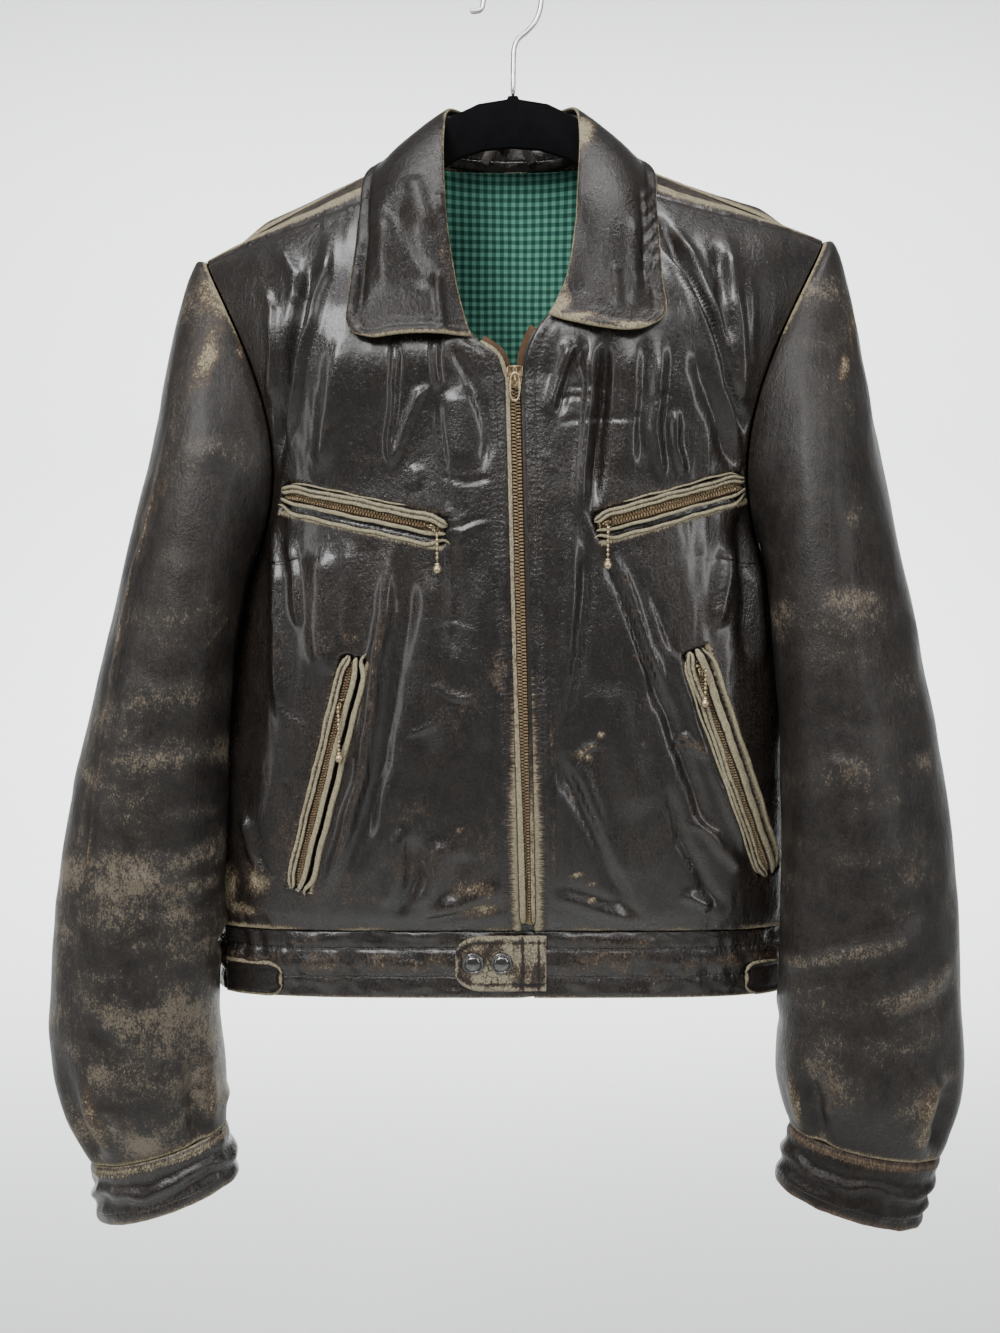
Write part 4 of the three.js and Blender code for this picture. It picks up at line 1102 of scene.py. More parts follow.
FRONT_HIDE = Hide("front_hide", haze=0.1, gloss=0.29, coat=0.55, rim_wear=0.4, pebble=0.36, rumple=0.3,
                  drape=0.8, warmth=0.75, stitches=(
    Stitch(Edge.FIRST_COLUMN, 7.5, 0.8, 0.3),))
BACK_HIDE = Hide("back_hide", haze=0.22, gloss=0.36, coat=0.2)
SLEEVE_HIDE = Hide("sleeve_hide", base=(0.0108, 0.0097, 0.0091), haze=0.3, gloss=0.4, coat=0.04, shine=0.26,
                   dust=(0.165, 0.134, 0.097), crackle=0.3, pebble=0.24, rim_wear=0.35)
CUFF_HIDE_LEFT = Hide("cuff_hide_left", gloss=0.27, coat=0.35, pebble=0.3, stitches=(
    Stitch(Edge.FIRST_ROW, 5, 1.0, 0.7), Stitch(Edge.LAST_ROW, 9, 0.9, 0.42)))
CUFF_HIDE_RIGHT = Hide("cuff_hide_right", tan=(0.19, 0.13, 0.085), gloss=0.34, coat=0.04, shine=0.22,
                       rim_wear=0.55, pebble=0.3, stitches=(
    Stitch(Edge.FIRST_ROW, 5, 0.9, 0.5), Stitch(Edge.LAST_ROW, 9, 0.8, 0.3)))
COLLAR_HIDE = Hide("collar_hide", haze=0.05, gloss=0.3, coat=0.05, shine=0.27, rim_wear=0.8, rim_reach=2.2,
                   pebble=0.3)
BAND_HIDE = Hide("band_hide", haze=0.6, gloss=0.28, coat=0.5, warmth=0.8, rim_wear=0.1, pebble=0.3, stitches=(
    Stitch(Edge.FIRST_ROW, 12, 1.0, 0.2), Stitch(Edge.LAST_ROW, 15, 1.3, 0.38)))
SIDE_TAB_HIDE = Hide("side_tab_hide", gloss=0.32, rim_wear=0.9, rim_reach=2.2)
WELT_HIDE = Hide("welt_hide", tan=(0.37, 0.325, 0.21), gloss=0.42, coat=0.1, rim_wear=0, pebble=0.1,
                 crackle=0.2)
EDGE_HIDE = Hide("edge_hide", tan=(0.34, 0.29, 0.185), gloss=0.38, rim_wear=0, pebble=0.1, crackle=0.2)
TAB_HIDE = Hide("tab_hide", tan=(0.32, 0.28, 0.195), gloss=0.42, coat=0.1, crackle=1.3, pebble=0.3)
LOOP_HIDE = Hide("loop_hide", base=(0.16, 0.155, 0.15), tan=(0.3, 0.29, 0.27), gloss=0.35, coat=0.1,
                 rim_wear=0)
BRASS = Metal("worn_brass", (0.62, 0.48, 0.30), (0.17, 0.105, 0.06), 0.42, 0.4)
PALE_BRASS = Metal("pale_brass", (0.56, 0.46, 0.30), (0.2, 0.13, 0.07), 0.3, 0.5)
SNAP_METAL = Metal("snap_metal", (0.2, 0.195, 0.19), (0.04, 0.036, 0.032), 0.09, 0.35)
CHROME = Metal("hook_chrome", (0.72, 0.72, 0.70), (0.4, 0.4, 0.38), 0.2, 0.2, 0.1)
VELVET = Cloth("hanger_velvet", (0.004, 0.004, 0.005), (0.0015, 0.0015, 0.002), 0.45, 0.015)
TAPE = Cloth("zip_tape", (0.115, 0.068, 0.038), (0.05, 0.028, 0.016), 0.7, 0.05)


class Wardrobe:
    """Makes each finish once, when it is first asked for."""

    def __init__(self) -> None:
        """Starts with no materials."""
        self.made = {}

    def dress(self, piece: bpy.types.Object, finish: object, body: str = JACKET,
              replaces: Sequence[str] = ()) -> bpy.types.Object:
        """Gives a piece its finish, its body and the solids that it stands for, and reports it.

        Args:
            piece: the object.
            finish: a finish with a name and a material method.
            body: the body it rides on.
            replaces: names of solids.

        Returns:
            The piece.
        """
        if finish.name not in self.made:
            self.made[finish.name] = finish.material()
        piece.data.materials.clear()
        piece.data.materials.append(self.made[finish.name])
        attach(piece, body)
        if replaces:
            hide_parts(*replaces)
        LOG.info("%s: %d faces, %s on %s", piece.name, len(piece.data.polygons), finish.name, body)
        return piece


def declare(piece: bpy.types.Object, panel: Panel) -> None:
    """States a panel's cut in the log: its flat width and length, and its area.

    Args:
        piece: the panel's object.
        panel: its smooth form.
    """
    width, length = panel.flat()
    area = min(panel.area(), width * length)
    LOG.info("cut of %s: %.0f x %.0f mm, %.4f square metres", piece.name, width / MM, length / MM, area)


# ---------------------------------------------------------------- the fronts
@dataclass
class Pocket:
    """A zipped pocket whose line runs from start to end in (x, z); q is the distance across the line.

    q grows upwards, or to the left on a steep line.

    Attributes:
        welts: (q, half width, height, ridges) of each rounded welt.
        rims: (q, half width, height, start, end) of the rubbed ridges just outside the window, whose ends
            are shares of the line.
        chain: q of the teeth, and how wide they are.
        slider: the slider's place along the line, and hang how long its beads are.
    """

    name: str
    start: tuple
    end: tuple
    welts: tuple
    rims: tuple
    chain: tuple
    slider: float
    hang: float
    half: float = 9.5

    @property
    def length(self) -> float:
        """Millimetres from start to end."""
        return math.dist(self.start, self.end)

    @property
    def along(self) -> Array:
        """Unit direction of the line in x and z."""
        return (np.array(self.end, float) - self.start) / self.length

    @property
    def across(self) -> Array:
        """Unit direction of q: up for a level pocket, to the left for an upright one."""
        a = self.along
        return np.array([-a[1], a[0]])

    def local(self, x: Array, z: Array) -> tuple[Array, Array]:
        """Millimetres along and across the pocket's line."""
        dx, dz = x - self.start[0], z - self.start[1]
        return dx * self.along[0] + dz * self.along[1], dx * self.across[0] + dz * self.across[1]

    def spots(self, run: Array, q: Array) -> tuple[Array, Array]:
        """x and z of places along and across the line."""
        run, q = np.broadcast_arrays(np.asarray(run, float), np.asarray(q, float))
        return tuple(self.start[k] + run * self.along[k] + q * self.across[k] for k in (0, 1))

    def recess(self, x: Array, z: Array) -> Array:
        """1 inside the window, 0 outside, with a short slope."""
        run, q = self.local(x, z)
        inside = np.minimum(self.half + 0.4 - np.abs(q), np.minimum(run + 1.5, self.length + 1.5 - run))
        return ease(inside / 1.6)

    def rubbed(self, x: Array, z: Array) -> Array:
        """How near a place is to the window's long edges, 1 at the lower one and 0 six millimetres away."""
        run, q = self.local(x, z)
        beyond, past = np.abs(q) - self.half, np.maximum(-run, run - self.length)
        side = np.where(q < 0, 1.0, 0.5)
        return (ease(1 - np.maximum(beyond, 0) / 6) * ease(1 - np.maximum(past, 0) / 2.5) * side
                * (beyond > -0.8))


class Front:
    """A front panel: its creases pressed in, its pocket windows sunk, its zip edge rubbed."""

    def __init__(self, name: str, side: BodySide, folds: Sequence[Fold], patches: Sequence[Patch],
                 pockets: Sequence[Pocket], seed: int) -> None:
        """Works out the relief on a fine grid.

        Args:
            name: the solid it stands for.
            side: its form.
            folds: creases.
            patches: worn ovals.
            pockets: windows.
            seed: for its random part.
        """
        self.name, self.side, self.pockets, self.seed = name, side, pockets, seed
        self.u, self.v = spaced(112, 210), spaced(268, 470)
        grid = side.front(self.u[None, :], self.v[:, None])
        self.panel = Panel(grid, TOWARDS, HIDE)
        p = self.panel
        height, wear = pressed(grid, folds, seed)
        crumple = 0.25 - 0.55 * np.abs(noise(grid, (8, 16, 34), seed + 50, 2))
        body = p.inside(14) * (draped(grid, 1.15, seed + 20) + crumple + 1.6 * height)
        edge_roll = 0.7 * bell(p.u0 - 3, 2.2) * (p.v1 > 6) + 0.5 * bell(p.u0 - 12, 2.5)
        dimples = 0.28 * noise(grid, (5, 5, 4), seed + 40, 2) * bell(p.u0, 11)
        hem_pucker = 0.5 * noise(grid, (5, 8, 14), seed + 41) * bell(p.v0, 12)
        seam = lerp(21, 4, self.u[None, :] ** 1.2)
        strip = ease((5.4 - np.abs(p.v1 - seam)) / 2)
        self.skin = body + edge_roll + dimples + hem_pucker + 0.9 * strip - 1.5 * bell(p.v1 - seam - 7.5, 1.7)
        sunk = np.zeros_like(height)
        for pocket in pockets:
            sunk = np.maximum(sunk, pocket.recess(grid[..., 0], grid[..., 2]))
        self.relief = self.skin - 3.0 * sunk
        low = ease((-400 - grid[..., 2]) / 160)
        self.wear = np.maximum(wear * 0.85, patched(grid, patches)) * (1 - sunk)
        self.wear = np.maximum(self.wear, 0.42 * ease((seam - 3 - p.v1) / 2))
        self.fray_x = bell(p.u0, 3.0 + 4.5 * low) * (0.4 + 0.5 * low)
        level = np.zeros_like(height)
        upright = np.zeros_like(height)
        for pocket in pockets:
            rubbed = pocket.rubbed(grid[..., 0], grid[..., 2])
            if abs(pocket.along[0]) > 0.7:
                level = np.maximum(level, rubbed)
            else:
                upright = np.maximum(upright, rubbed)
        self.fray_x = np.maximum(self.fray_x, upright) * (1 - sunk)
        hem = bell(p.v0, 5) * (0.45 + 0.4 * ease((np.abs(grid[..., 0]) - 120) / 60)
                               + 0.5 * noise(grid, (30, 30, 30), seed + 44))
        self.fray_z = np.maximum(np.maximum(level, hem) * (1 - sunk), 0.8 * strip)

    def build(self, wardrobe: Wardrobe) -> bpy.types.Object:
        """Makes and dresses the panel."""
        piece = self.panel.piece(self.name + "_hide", self.relief, wear=self.wear, wear_x=self.fray_x,
                                 wear_z=self.fray_z)
        wardrobe.dress(piece, FRONT_HIDE, replaces=[self.name])
        declare(piece, self.panel)
        self.outer = self.panel.grid + self.panel.normal * self.skin[..., None]
        return piece

    def at(self, x: Array, z: Array) -> tuple[Array, Array]:
        """The pressed surface over given x and z, by Newton steps on the smooth form.

        Args:
            x: places.
            z: places.

        Returns:
            (points, unit normals), read from the fine grid between its points.
        """
        x, z = np.broadcast_arrays(np.asarray(x, float), np.asarray(z, float))
        u = np.clip((x - zip_x(z)) / (self.side.tip[0] - zip_x(z)), 0.02, 0.95)
        v = np.clip(np.where(z < ZIP_TOP_Z, (z - WAIST_Z) / (ZIP_TOP_Z - WAIST_Z) * NECK_ROW, 0.8), 0.02,
                    0.95)
        h = 1e-4
        for _ in range(30):
            p = self.side.front(u, v)
            pu, pv = (self.side.front(u + h, v) - p) / h, (self.side.front(u, v + h) - p) / h
            det = pu[..., 0] * pv[..., 2] - pv[..., 0] * pu[..., 2]
            dx, dz = x - p[..., 0], z - p[..., 2]
            u = np.clip(u + np.clip((dx * pv[..., 2] - dz * pv[..., 0]) / det, -0.1, 0.1), 0, 0.985)
            v = np.clip(v + np.clip((dz * pu[..., 0] - dx * pu[..., 2]) / det, -0.1, 0.1), 0, 0.985)
        i, j = np.interp(u, self.u, np.arange(len(self.u))), np.interp(v, self.v, np.arange(len(self.v)))
        i0, j0 = np.minimum(i.astype(int), len(self.u) - 2), np.minimum(j.astype(int), len(self.v) - 2)
        fi, fj = (i - i0)[..., None], (j - j0)[..., None]

        def between(a: Array) -> Array:
            """Reads a grid between its points."""
            low, high = lerp(a[j0, i0], a[j0, i0 + 1], fi), lerp(a[j0 + 1, i0], a[j0 + 1, i0 + 1], fi)
            return lerp(low, high, fj)

        return between(self.outer), unit(between(self.panel.normal))


def dome(half: float, height: float, sunk: float = 1.6, ridges: int = 1) -> Array:
    """A welt's section: a rounded hump, or two with a dip between, closed below the surface.

    Args:
        half: half width.
        height: above the surface.
        sunk: how far below it the section closes.
        ridges: one or two.

    Returns:
        (m, 2) loop.
    """
    a = np.linspace(math.pi, 0, 17)
    x, y = half * np.cos(a), height * np.sin(a) ** 0.6
    if ridges == 2:
        y = y - 0.55 * height * bell(x, half * 0.22)
    return np.concatenate([np.stack([x, y], axis=1), [[half * 0.8, -sunk], [-half * 0.8, -sunk]]])


class Teeth:
    """A zip's two rows of interlocked teeth along a line."""

    def __init__(self, path: Array, across: Array, out: Array, width: float, pitch: float = 2.1) -> None:
        """Places a tooth at each pitch, left and right in turn.

        Args:
            path: (n, 3) close points along the chain.
            across: (n, 3) unit directions to one side.
            out: (n, 3) unit normals.
            width: of the whole chain.
            pitch: from tooth to tooth.
        """
        run = np.concatenate([[0], np.cumsum(np.linalg.norm(np.diff(path, axis=0), axis=1))])
        where = np.arange(pitch / 2, run[-1] - pitch / 2, pitch / 2)

        def read(a: Array) -> Array:
            """Vectors read along the run."""
            return np.stack([np.interp(where, run, a[:, k]) for k in range(3)], axis=1)

        centre, x, z = read(path), unit(read(across)), unit(read(out))
        hand = np.where(np.arange(len(where)) % 2 == 0, 1.0, -1.0)[:, None]
        y = unit(np.cross(z, x))
        slant = 0.12 * hand
        long_axis = unit(x + y * slant)
        short_axis = unit(np.cross(z, long_axis))
        axes = np.stack([long_axis, short_axis, z], axis=1)
        body = blocks(centre + x * hand * width * 0.25, axes, np.array([width * 0.27, pitch * 0.235, 0.75]),
                      0.3)
        head = blocks(centre + x * hand * width * 0.43 + z * 0.15, axes,
                      np.array([width * 0.09, pitch * 0.3, 0.85]), 0.3)
        self.parts = [body, head]

    def build(self, name: str) -> bpy.types.Object:
        """The joined teeth as one object."""
        vertices, faces = joined(self.parts)
        return make_object(name, vertices, faces)


class BeadPull:
    """A slider's hanging pull: a small ring, a chain of beads and a ball."""

    def __init__(self, top: Array, length: float) -> None:
        """Hangs straight down from top.

        Args:
            top: the hanging point.
            length: to the ball's lower end.
        """
        down = np.array([0.0, 0.0, -1.0])
        self.parts = []
        ball, bead, pitch = 2.9, 1.15, 2.75
        count = int((length - 2 * ball) / pitch)
        profile = lambda r: [(r * math.sin(a) + 0.01, -r * math.cos(a)) for a in np.linspace(0, math.pi, 9)]
        for k in range(count):
            self.parts.append(turned(profile(bead), top + down * (1.2 + pitch * k), down, 10))
            link = [(0.01, 0), (0.42, 0.05), (0.42, pitch - 0.05), (0.01, pitch)]
            self.parts.append(turned(link, top + down * (1.2 + pitch * k), down, 6))
        self.parts.append(turned(profile(ball), top + down * (length - ball), down, 18))
        cap = [(0.01, 0), (1.5, 0.2), (1.7, 1.4), (1.2, 2.2), (0.01, 2.3)]
        self.parts.append(turned(cap, top + down * (length - 2 * ball - 1.2), down, 14))

    def build(self, name: str) -> bpy.types.Object:
        """The joined pull as one object."""
        vertices, faces = joined(self.parts)
        return make_object(name, vertices, faces)


class PocketFittings:
    """The welts, rubbed rims, teeth, slider and pull of one pocket, laid on its front."""

    def __init__(self, pocket: Pocket, front: Front) -> None:
        """Keeps the pocket and the front that it is cut in."""
        self.pocket, self.front = pocket, front

    def line(
        self, q: float, low: float = 0.0, high: float = 1.0, count: int = 90, sway: float = 0.0
    ) -> tuple[Array, Array, Array]:
        """A line over the pressed front at q across the pocket.

        Args:
            q: millimetres across.
            low: start as a share of the length.
            high: end as a share.
            count: points.
            sway: how far it wanders across.

        Returns:
            (points, directions across, normals).
        """
        p = self.pocket
        t = np.linspace(low, high, count)
        bow = sway * np.sin(t * 9 + q) * np.sin(t * 23)
        drawn_in = 1 - 0.42 * bell(np.minimum(t, 1 - t) * p.length, 6)
        x, z = p.spots(t * p.length, (q + bow) * drawn_in)
        points, normals = self.front.at(x, z)
        kernel = np.ones(9) / 9
        padded = np.pad(normals, ((4, 4), (0, 0)), mode="edge")
        normals = unit(np.stack([np.convolve(padded[:, k], kernel, "valid") for k in range(3)], axis=1))
        across = unit(np.cross(normals, np.gradient(points, axis=0)))
        flip = np.sign((across[:, [0, 2]] @ p.across))[:, None]
        return points, across * np.where(flip == 0, 1, flip), normals

    def build(self, wardrobe: Wardrobe) -> None:
        """Makes and dresses each fitting."""
        p, name = self.pocket, self.pocket.name
        targets = [name + "_welt_a", name + "_welt_b"]
        streak = "wear_z" if abs(p.along[0]) > 0.7 else "wear_x"
        for k, (q, half, height, ridges) in enumerate(p.welts):
            points, across, out = self.line(q, -0.005, 1.005, sway=0.35)
            swell = (rounded_ends(len(points), 0.035, 0.35)
                     * (1 + 0.14 * noise(points, (3.4, 9, 3.4), 95 + k, 2)))
            section = dome(half, height, 2.4, ridges)
            far = np.abs(section[:, 0]) / half
            worn = (1.02 - 0.62 * bell(far, 0.25) * (ridges == 2)) * (1 - 0.95 * ease((far - 0.66) / 0.34))
            piece = sweep(f"{name}_welt_{k + 1}_hide", points, across, out, section, swell, worn, streak)
            wardrobe.dress(piece, WELT_HIDE, replaces=targets[k : k + 1])
        for k, (q, half, height, low, high) in enumerate(p.rims):
            points, across, out = self.line(q, low, high, sway=0.5)
            swell = (rounded_ends(len(points), 0.12, 0.12)
                     * (1 + 0.22 * noise(points, (3.4, 9, 3.4), 97 + k, 2)))
            piece = sweep(f"{name}_rim_{k + 1}", points, across, out, dome(half * 0.8, height, 0.9), swell,
                          None, streak)
            wardrobe.dress(piece, WELT_HIDE)
        q, width = p.chain
        points, across, out = self.line(q, 0.01, 0.99, 160)
        points = points - out * 0.6
        tape = sweep(name + "_tape", points, across, out,
                     np.array([[-width, -1.2], [width, -1.2], [width, -0.5], [-width, -0.5]]))
        wardrobe.dress(tape, TAPE)
        teeth = Teeth(points, across, out, width, 1.9).build(name + "_teeth")
        wardrobe.dress(teeth, BRASS, replaces=[name + "_zip"])
        self.slider(wardrobe, points, across, out)

    def slider(self, wardrobe: Wardrobe, points: Array, across: Array, out: Array) -> None:
        """The slider, its bridge, and the pull that hangs from the joint's axis."""
        p, name = self.pocket, self.pocket.name
        k = int(np.clip(p.slider, 0.03, 0.97) * (len(points) - 1))
        run = unit(points[min(k + 1, len(points) - 1)] - points[k - 1])
        axes = np.stack([run, across[k], out[k]])[None]
        at = points[k][None]
        low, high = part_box(name + "_pull")
        top = np.array([(low[0] + high[0]) / 2, (low[1] + high[1]) / 2, high[2]]) / MM
        body = blocks(at + out[k] * 1.3, axes, np.array([4.6, 3.0, 1.0]), 0.5)
        crown = blocks(at + out[k] * 3.1, axes, np.array([2.6, 1.1, 1.1]), 0.5)
        reach = top - (points[k] + out[k] * 3.6)
        arm_axis = unit(reach)
        side = unit(np.cross(arm_axis, [0.0, 0.0, 1.0]))
        arm_axes = np.stack([arm_axis, side, np.cross(arm_axis, side)])[None]
        arm = blocks((points[k] + out[k] * 3.4 + reach / 2)[None], arm_axes,
                     np.array([np.linalg.norm(reach) / 2 + 0.3, 0.7, 0.7]), 0.25)
        vertices, faces = joined([body, crown, arm])
        wardrobe.dress(make_object(name + "_slider_body", vertices, faces), PALE_BRASS,
                       replaces=[name + "_slider"])
        pull = BeadPull(top, p.hang).build(name + "_beads")
        wardrobe.dress(pull, PALE_BRASS, body=name + "_pull", replaces=[name + "_pull"])


LEFT_FOLDS = (
    Fold(((-124, -188), (-129, -215), (-137, -250), (-147, -290), (-153, -325)), 4.2, -4.6),
    Fold(((-115, -170), (-115, -200), (-121, -222), (-130, -250), (-138, -280), (-146, -308)), 3.4, 3.2, 0.3),
    Fold(((-157, -203), (-148, -222), (-149, -250), (-156, -283)), 3.2, 2.4, 0.2),
    Fold(((-147, -178), (-135, -200), (-132, -222)), 5, 1.8),
    Fold(((-104, -238), (-110, -268), (-116, -298), (-120, -322)), 7, 2.2, 0.28),
    Fold(((-70, -238), (-72, -270), (-77, -300), (-76, -320)), 2.8, 2.4, 0.35),
    Fold(((-75, -318), (-66, -292), (-57, -273), (-49, -269)), 2.8, 1.9, 0.25),
    Fold(((-47, -240), (-47, -262), (-46, -272)), 2.8, 2.6, 0.35),
    Fold(((-46, -272), (-45, -300), (-42, -335), (-40, -352)), 3, -1.6),
    Fold(((-39, -243), (-28, -262), (-18, -285), (-14, -302), (-20, -322)), 3.2, -1.9),
    Fold(((-33, -318), (-30, -290), (-34, -270)), 10, 1.6),
    Fold(((-60, -318), (-62, -332)), 4, 1.0, 0.2),
    Fold(((-46, -322), (-30, -327), (-12, -324)), 1.3, -0.9),
    Fold(((-44, -356), (-30, -354), (-16, -350)), 1.3, -0.8, 0.3),
    Fold(((-38, -364), (-28, -356), (-17, -352)), 1.8, 1.0, 0.6),
    Fold(((-36, -360), (-31, -346)), 1.4, 0.8, 0.4),
    Fold(((-153, -343), (-153, -380), (-154, -425), (-151, -480)), 3.8, 2.2, 0.3),
    Fold(((-144, -360), (-139, -388), (-137, -420)), 2.8, 1.6, 0.2),
    Fold(((-120, -365), (-122, -420), (-120, -450)), 9, 2.4, 0.42),
    Fold(((-104, -362), (-103, -400), (-106, -432)), 5, 1.2),
    Fold(
        ((-75, -362), (-79, -390), (-80, -410), (-85, -435), (-90, -470), (-98, -520), (-112, -565),
         (-128, -602)),
        4.2, 3.2, 0.55, 0.3
    ),
    Fold(((-66, -368), (-69, -410), (-75, -450), (-85, -505), (-96, -545), (-108, -580)), 7, -3.2),
    Fold(((-38, -352), (-36, -400), (-38, -440)), 4.5, -1.8),
    Fold(((-52, -380), (-52, -440), (-50, -500)), 8, 1.6, 0.1),
    Fold(((-20, -380), (-22, -440), (-18, -500)), 6, 1.2, 0.15),
    Fold(((-50, -415), (-35, -413), (-22, -418)), 1.4, -0.8, 0.3),
    Fold(((-52, -452), (-38, -462), (-24, -464)), 1.8, 1.1, 0.3),
    Fold(((-70, -488), (-52, -480), (-40, -468)), 1.8, 0.9, 0.35),
    Fold(((-178, -545), (-172, -575), (-162, -592)), 3.6, 2.6, 0.4),
    Fold(((-74, -548), (-76, -580), (-84, -604)), 4.4, 2.4, 0.3),
    Fold(((-66, -555), (-66, -588), (-74, -614)), 4, -2.4),
    Fold(((-44, -556), (-52, -582), (-60, -606)), 6, 2.6, 0.25),
    Fold(((-30, -565), (-38, -585), (-44, -600)), 4.5, -1.8),
    Fold(((-6, -588), (-30, -600), (-62, -610)), 5.5, 1.5, 0.45),
    Fold(((-4, -601), (-32, -610), (-60, -616)), 3.4, -1.2),
    Fold(((-150, -520), (-140, -532)), 1.4, -0.9, 0.3),
    Fold(((-152, -470), (-132, -480)), 1.3, -0.8, 0.3),
)
LEFT_PATCHES = (
    Patch(-116, -295, 8, 26, 0.34, 8), Patch(-128, -400, 12, 34, 0.36), Patch(-150, -430, 9, 60, 0.34),
    Patch(-155, -500, 12, 34, 0.36), Patch(-150, -560, 16, 26, 0.42), Patch(-172, -590, 12, 16, 0.75, 20),
    Patch(-10, -450, 9, 22, 0.5), Patch(-12, -560, 14, 40, 0.42), Patch(-60, -540, 30, 26, 0.36, 30),
    Patch(-25, -590, 26, 10, 0.62, -14), Patch(-70, -590, 20, 18, 0.34), Patch(-104, -425, 9, 8, 0.5),
    Patch(-30, -352, 14, 9, 0.36), Patch(-15, -258, 6, 10, 0.3), Patch(-100, -600, 40, 10, 0.36),
    Patch(-34, -551, 4, 4, 0.75), Patch(-196, -600, 14, 24, 0.8), Patch(-182, -612, 26, 8, 0.7),
    Patch(-20, -606, 26, 8, 0.62),
    Patch(-60, -570, 60, 30, 0.4, 20), Patch(-130, -590, 50, 22, 0.42), Patch(-40, -480, 30, 40, 0.36),
    Patch(-120, -520, 8, 90, 0.5, -20), Patch(-86, -400, 5, 30, 0.4), Patch(-30, -430, 22, 16, 0.25),
)
RIGHT_FOLDS = (
    Fold(((92, -158), (102, -185), (113, -207), (124, -236), (135, -264), (147, -292), (151, -306)), 4.2,
         -5.0),
    Fold(((101, -166), (110, -190), (120, -215), (129, -242), (139, -268), (147, -288)), 3.0, 3.4, 0.4),
    Fold(((92, -178), (104, -202), (116, -226), (127, -252), (138, -285), (148, -316)), 2.8, 2.4, 0.32),
    Fold(((134, -172), (136, -212), (140, -245), (144, -268), (147, -286)), 4.6, 2.8, 0.3),
    Fold(((127, -180), (129, -215), (133, -245)), 4, -1.8),
    Fold(((146, -200), (147, -235), (149, -262)), 3.2, 1.8, 0.2),
    Fold(((110, -246), (122, -276), (133, -304), (140, -322)), 5, -2.2),
    Fold(((47, -238), (47, -280), (45, -312), (42, -352)), 3.6, 2.8, 0.28),
    Fold(((56, -236), (56, -280), (53, -312), (50, -346)), 3.4, -3.6),
    Fold(((72, -240), (72, -285), (68, -325)), 7, 1.4, 0.15),
    Fold(((88, -244), (88, -295), (92, -328)), 3.2, 1.9, 0.2),
    Fold(((80, -240), (80, -320)), 3.4, -1.3),
    Fold(((100, -282), (101, -305), (107, -324)), 2.8, 1.7, 0.2),
    Fold(((96, -240), (95, -280), (97, -320)), 3, -1.0),
    Fold(((37, -240), (29, -262), (21, -288)), 3.6, 2.4, 0.2),
    Fold(((44, -240), (34, -262), (27, -290)), 3, -1.6),
    Fold(((25, -279), (36, -275), (50, -276)), 1.2, -0.8),
    Fold(((26, -292), (56, -288), (82, -287)), 1.2, -0.8),
    Fold(((84, -278), (98, -272)), 1.2, -0.8),
    Fold(((34, -270), (50, -268), (58, -270)), 1.2, -0.7),
    Fold(((20, -310), (24, -322)), 1.2, 0.8, 0.5),
    Fold(((38, -345), (36, -400), (34, -450), (34, -495)), 4, 1.8, 0.1),
    Fold(((47, -362), (45, -400), (42, -432), (36, -464), (33, -490)), 3.6, -2.6),
    Fold(((54, -366), (66, -395), (78, -425), (91, -456), (105, -490), (119, -522), (130, -562)), 4.2, -3.2),
    Fold(((62, -370), (74, -400), (84, -430), (97, -458)), 3.2, 2.4, 0.42),
    Fold(((60, -385), (70, -412), (78, -434), (88, -462)), 3, 1.9, 0.3),
    Fold(((88, -395), (97, -420), (106, -440)), 2.2, -1.4),
    Fold(((140, -365), (136, -395), (132, -420)), 5, 2.2, 0.25),
    Fold(((147, -340), (150, -400), (154, -450)), 5, -2.8),
    Fold(((156, -345), (160, -400), (164, -450)), 4, 1.8, 0.2),
    Fold(((101, -424), (110, -455), (118, -482), (128, -505), (143, -543), (160, -578)), 3.2, 1.9, 0.35),
    Fold(((103, -493), (112, -489), (120, -498), (127, -503)), 2.2, 1.5, 0.6),
    Fold(((116, -545), (124, -551), (140, -568), (157, -582)), 3.2, 2.3, 0.45),
    Fold(((42, -500), (48, -495), (56, -492)), 1.8, 1.1, 0.7),
    Fold(((28, -498), (40, -525), (52, -550), (68, -586), (80, -614)), 4.6, -2.8),
    Fold(((40, -498), (50, -530), (62, -562), (74, -590)), 5.5, 2.0, 0.12),
    Fold(((100, -520), (112, -560), (132, -598), (142, -612)), 4, -2.0),
    Fold(((26, -594), (50, -602), (80, -614)), 5.5, 1.3, 0.3),
    Fold(((30, -586), (60, -598), (88, -612)), 4, -1.2),
    Fold(((112, -596), (132, -607)), 3.6, 1.8, 0.3),
    Fold(((24, -430), (25, -500), (26, -560), (27, -612)), 2.6, 1.8, 0.55),
    Fold(((60, -450), (70, -500), (90, -540)), 12, 1.4),
)
RIGHT_PATCHES = (
    Patch(72, -382, 22, 12, 0.3), Patch(90, -390, 16, 16, 0.28), Patch(40, -270, 16, 14, 0.2),
    Patch(48, -500, 10, 5, 0.6, -20), Patch(112, -492, 12, 6, 0.5, 20), Patch(36, -528, 4, 12, 0.55, 20),
    Patch(42, -577, 4, 3, 0.9), Patch(55, -598, 4, 3, 0.9), Patch(50, -584, 3, 2, 0.8),
    Patch(82, -432, 4, 9, 0.6, 20),
    Patch(122, -600, 16, 8, 0.3), Patch(100, -415, 14, 14, 0.3), Patch(130, -410, 10, 20, 0.34),
    Patch(60, -486, 3, 3, 0.8), Patch(84, -489, 3, 3, 0.5), Patch(150, -330, 4, 12, 0.3),
)
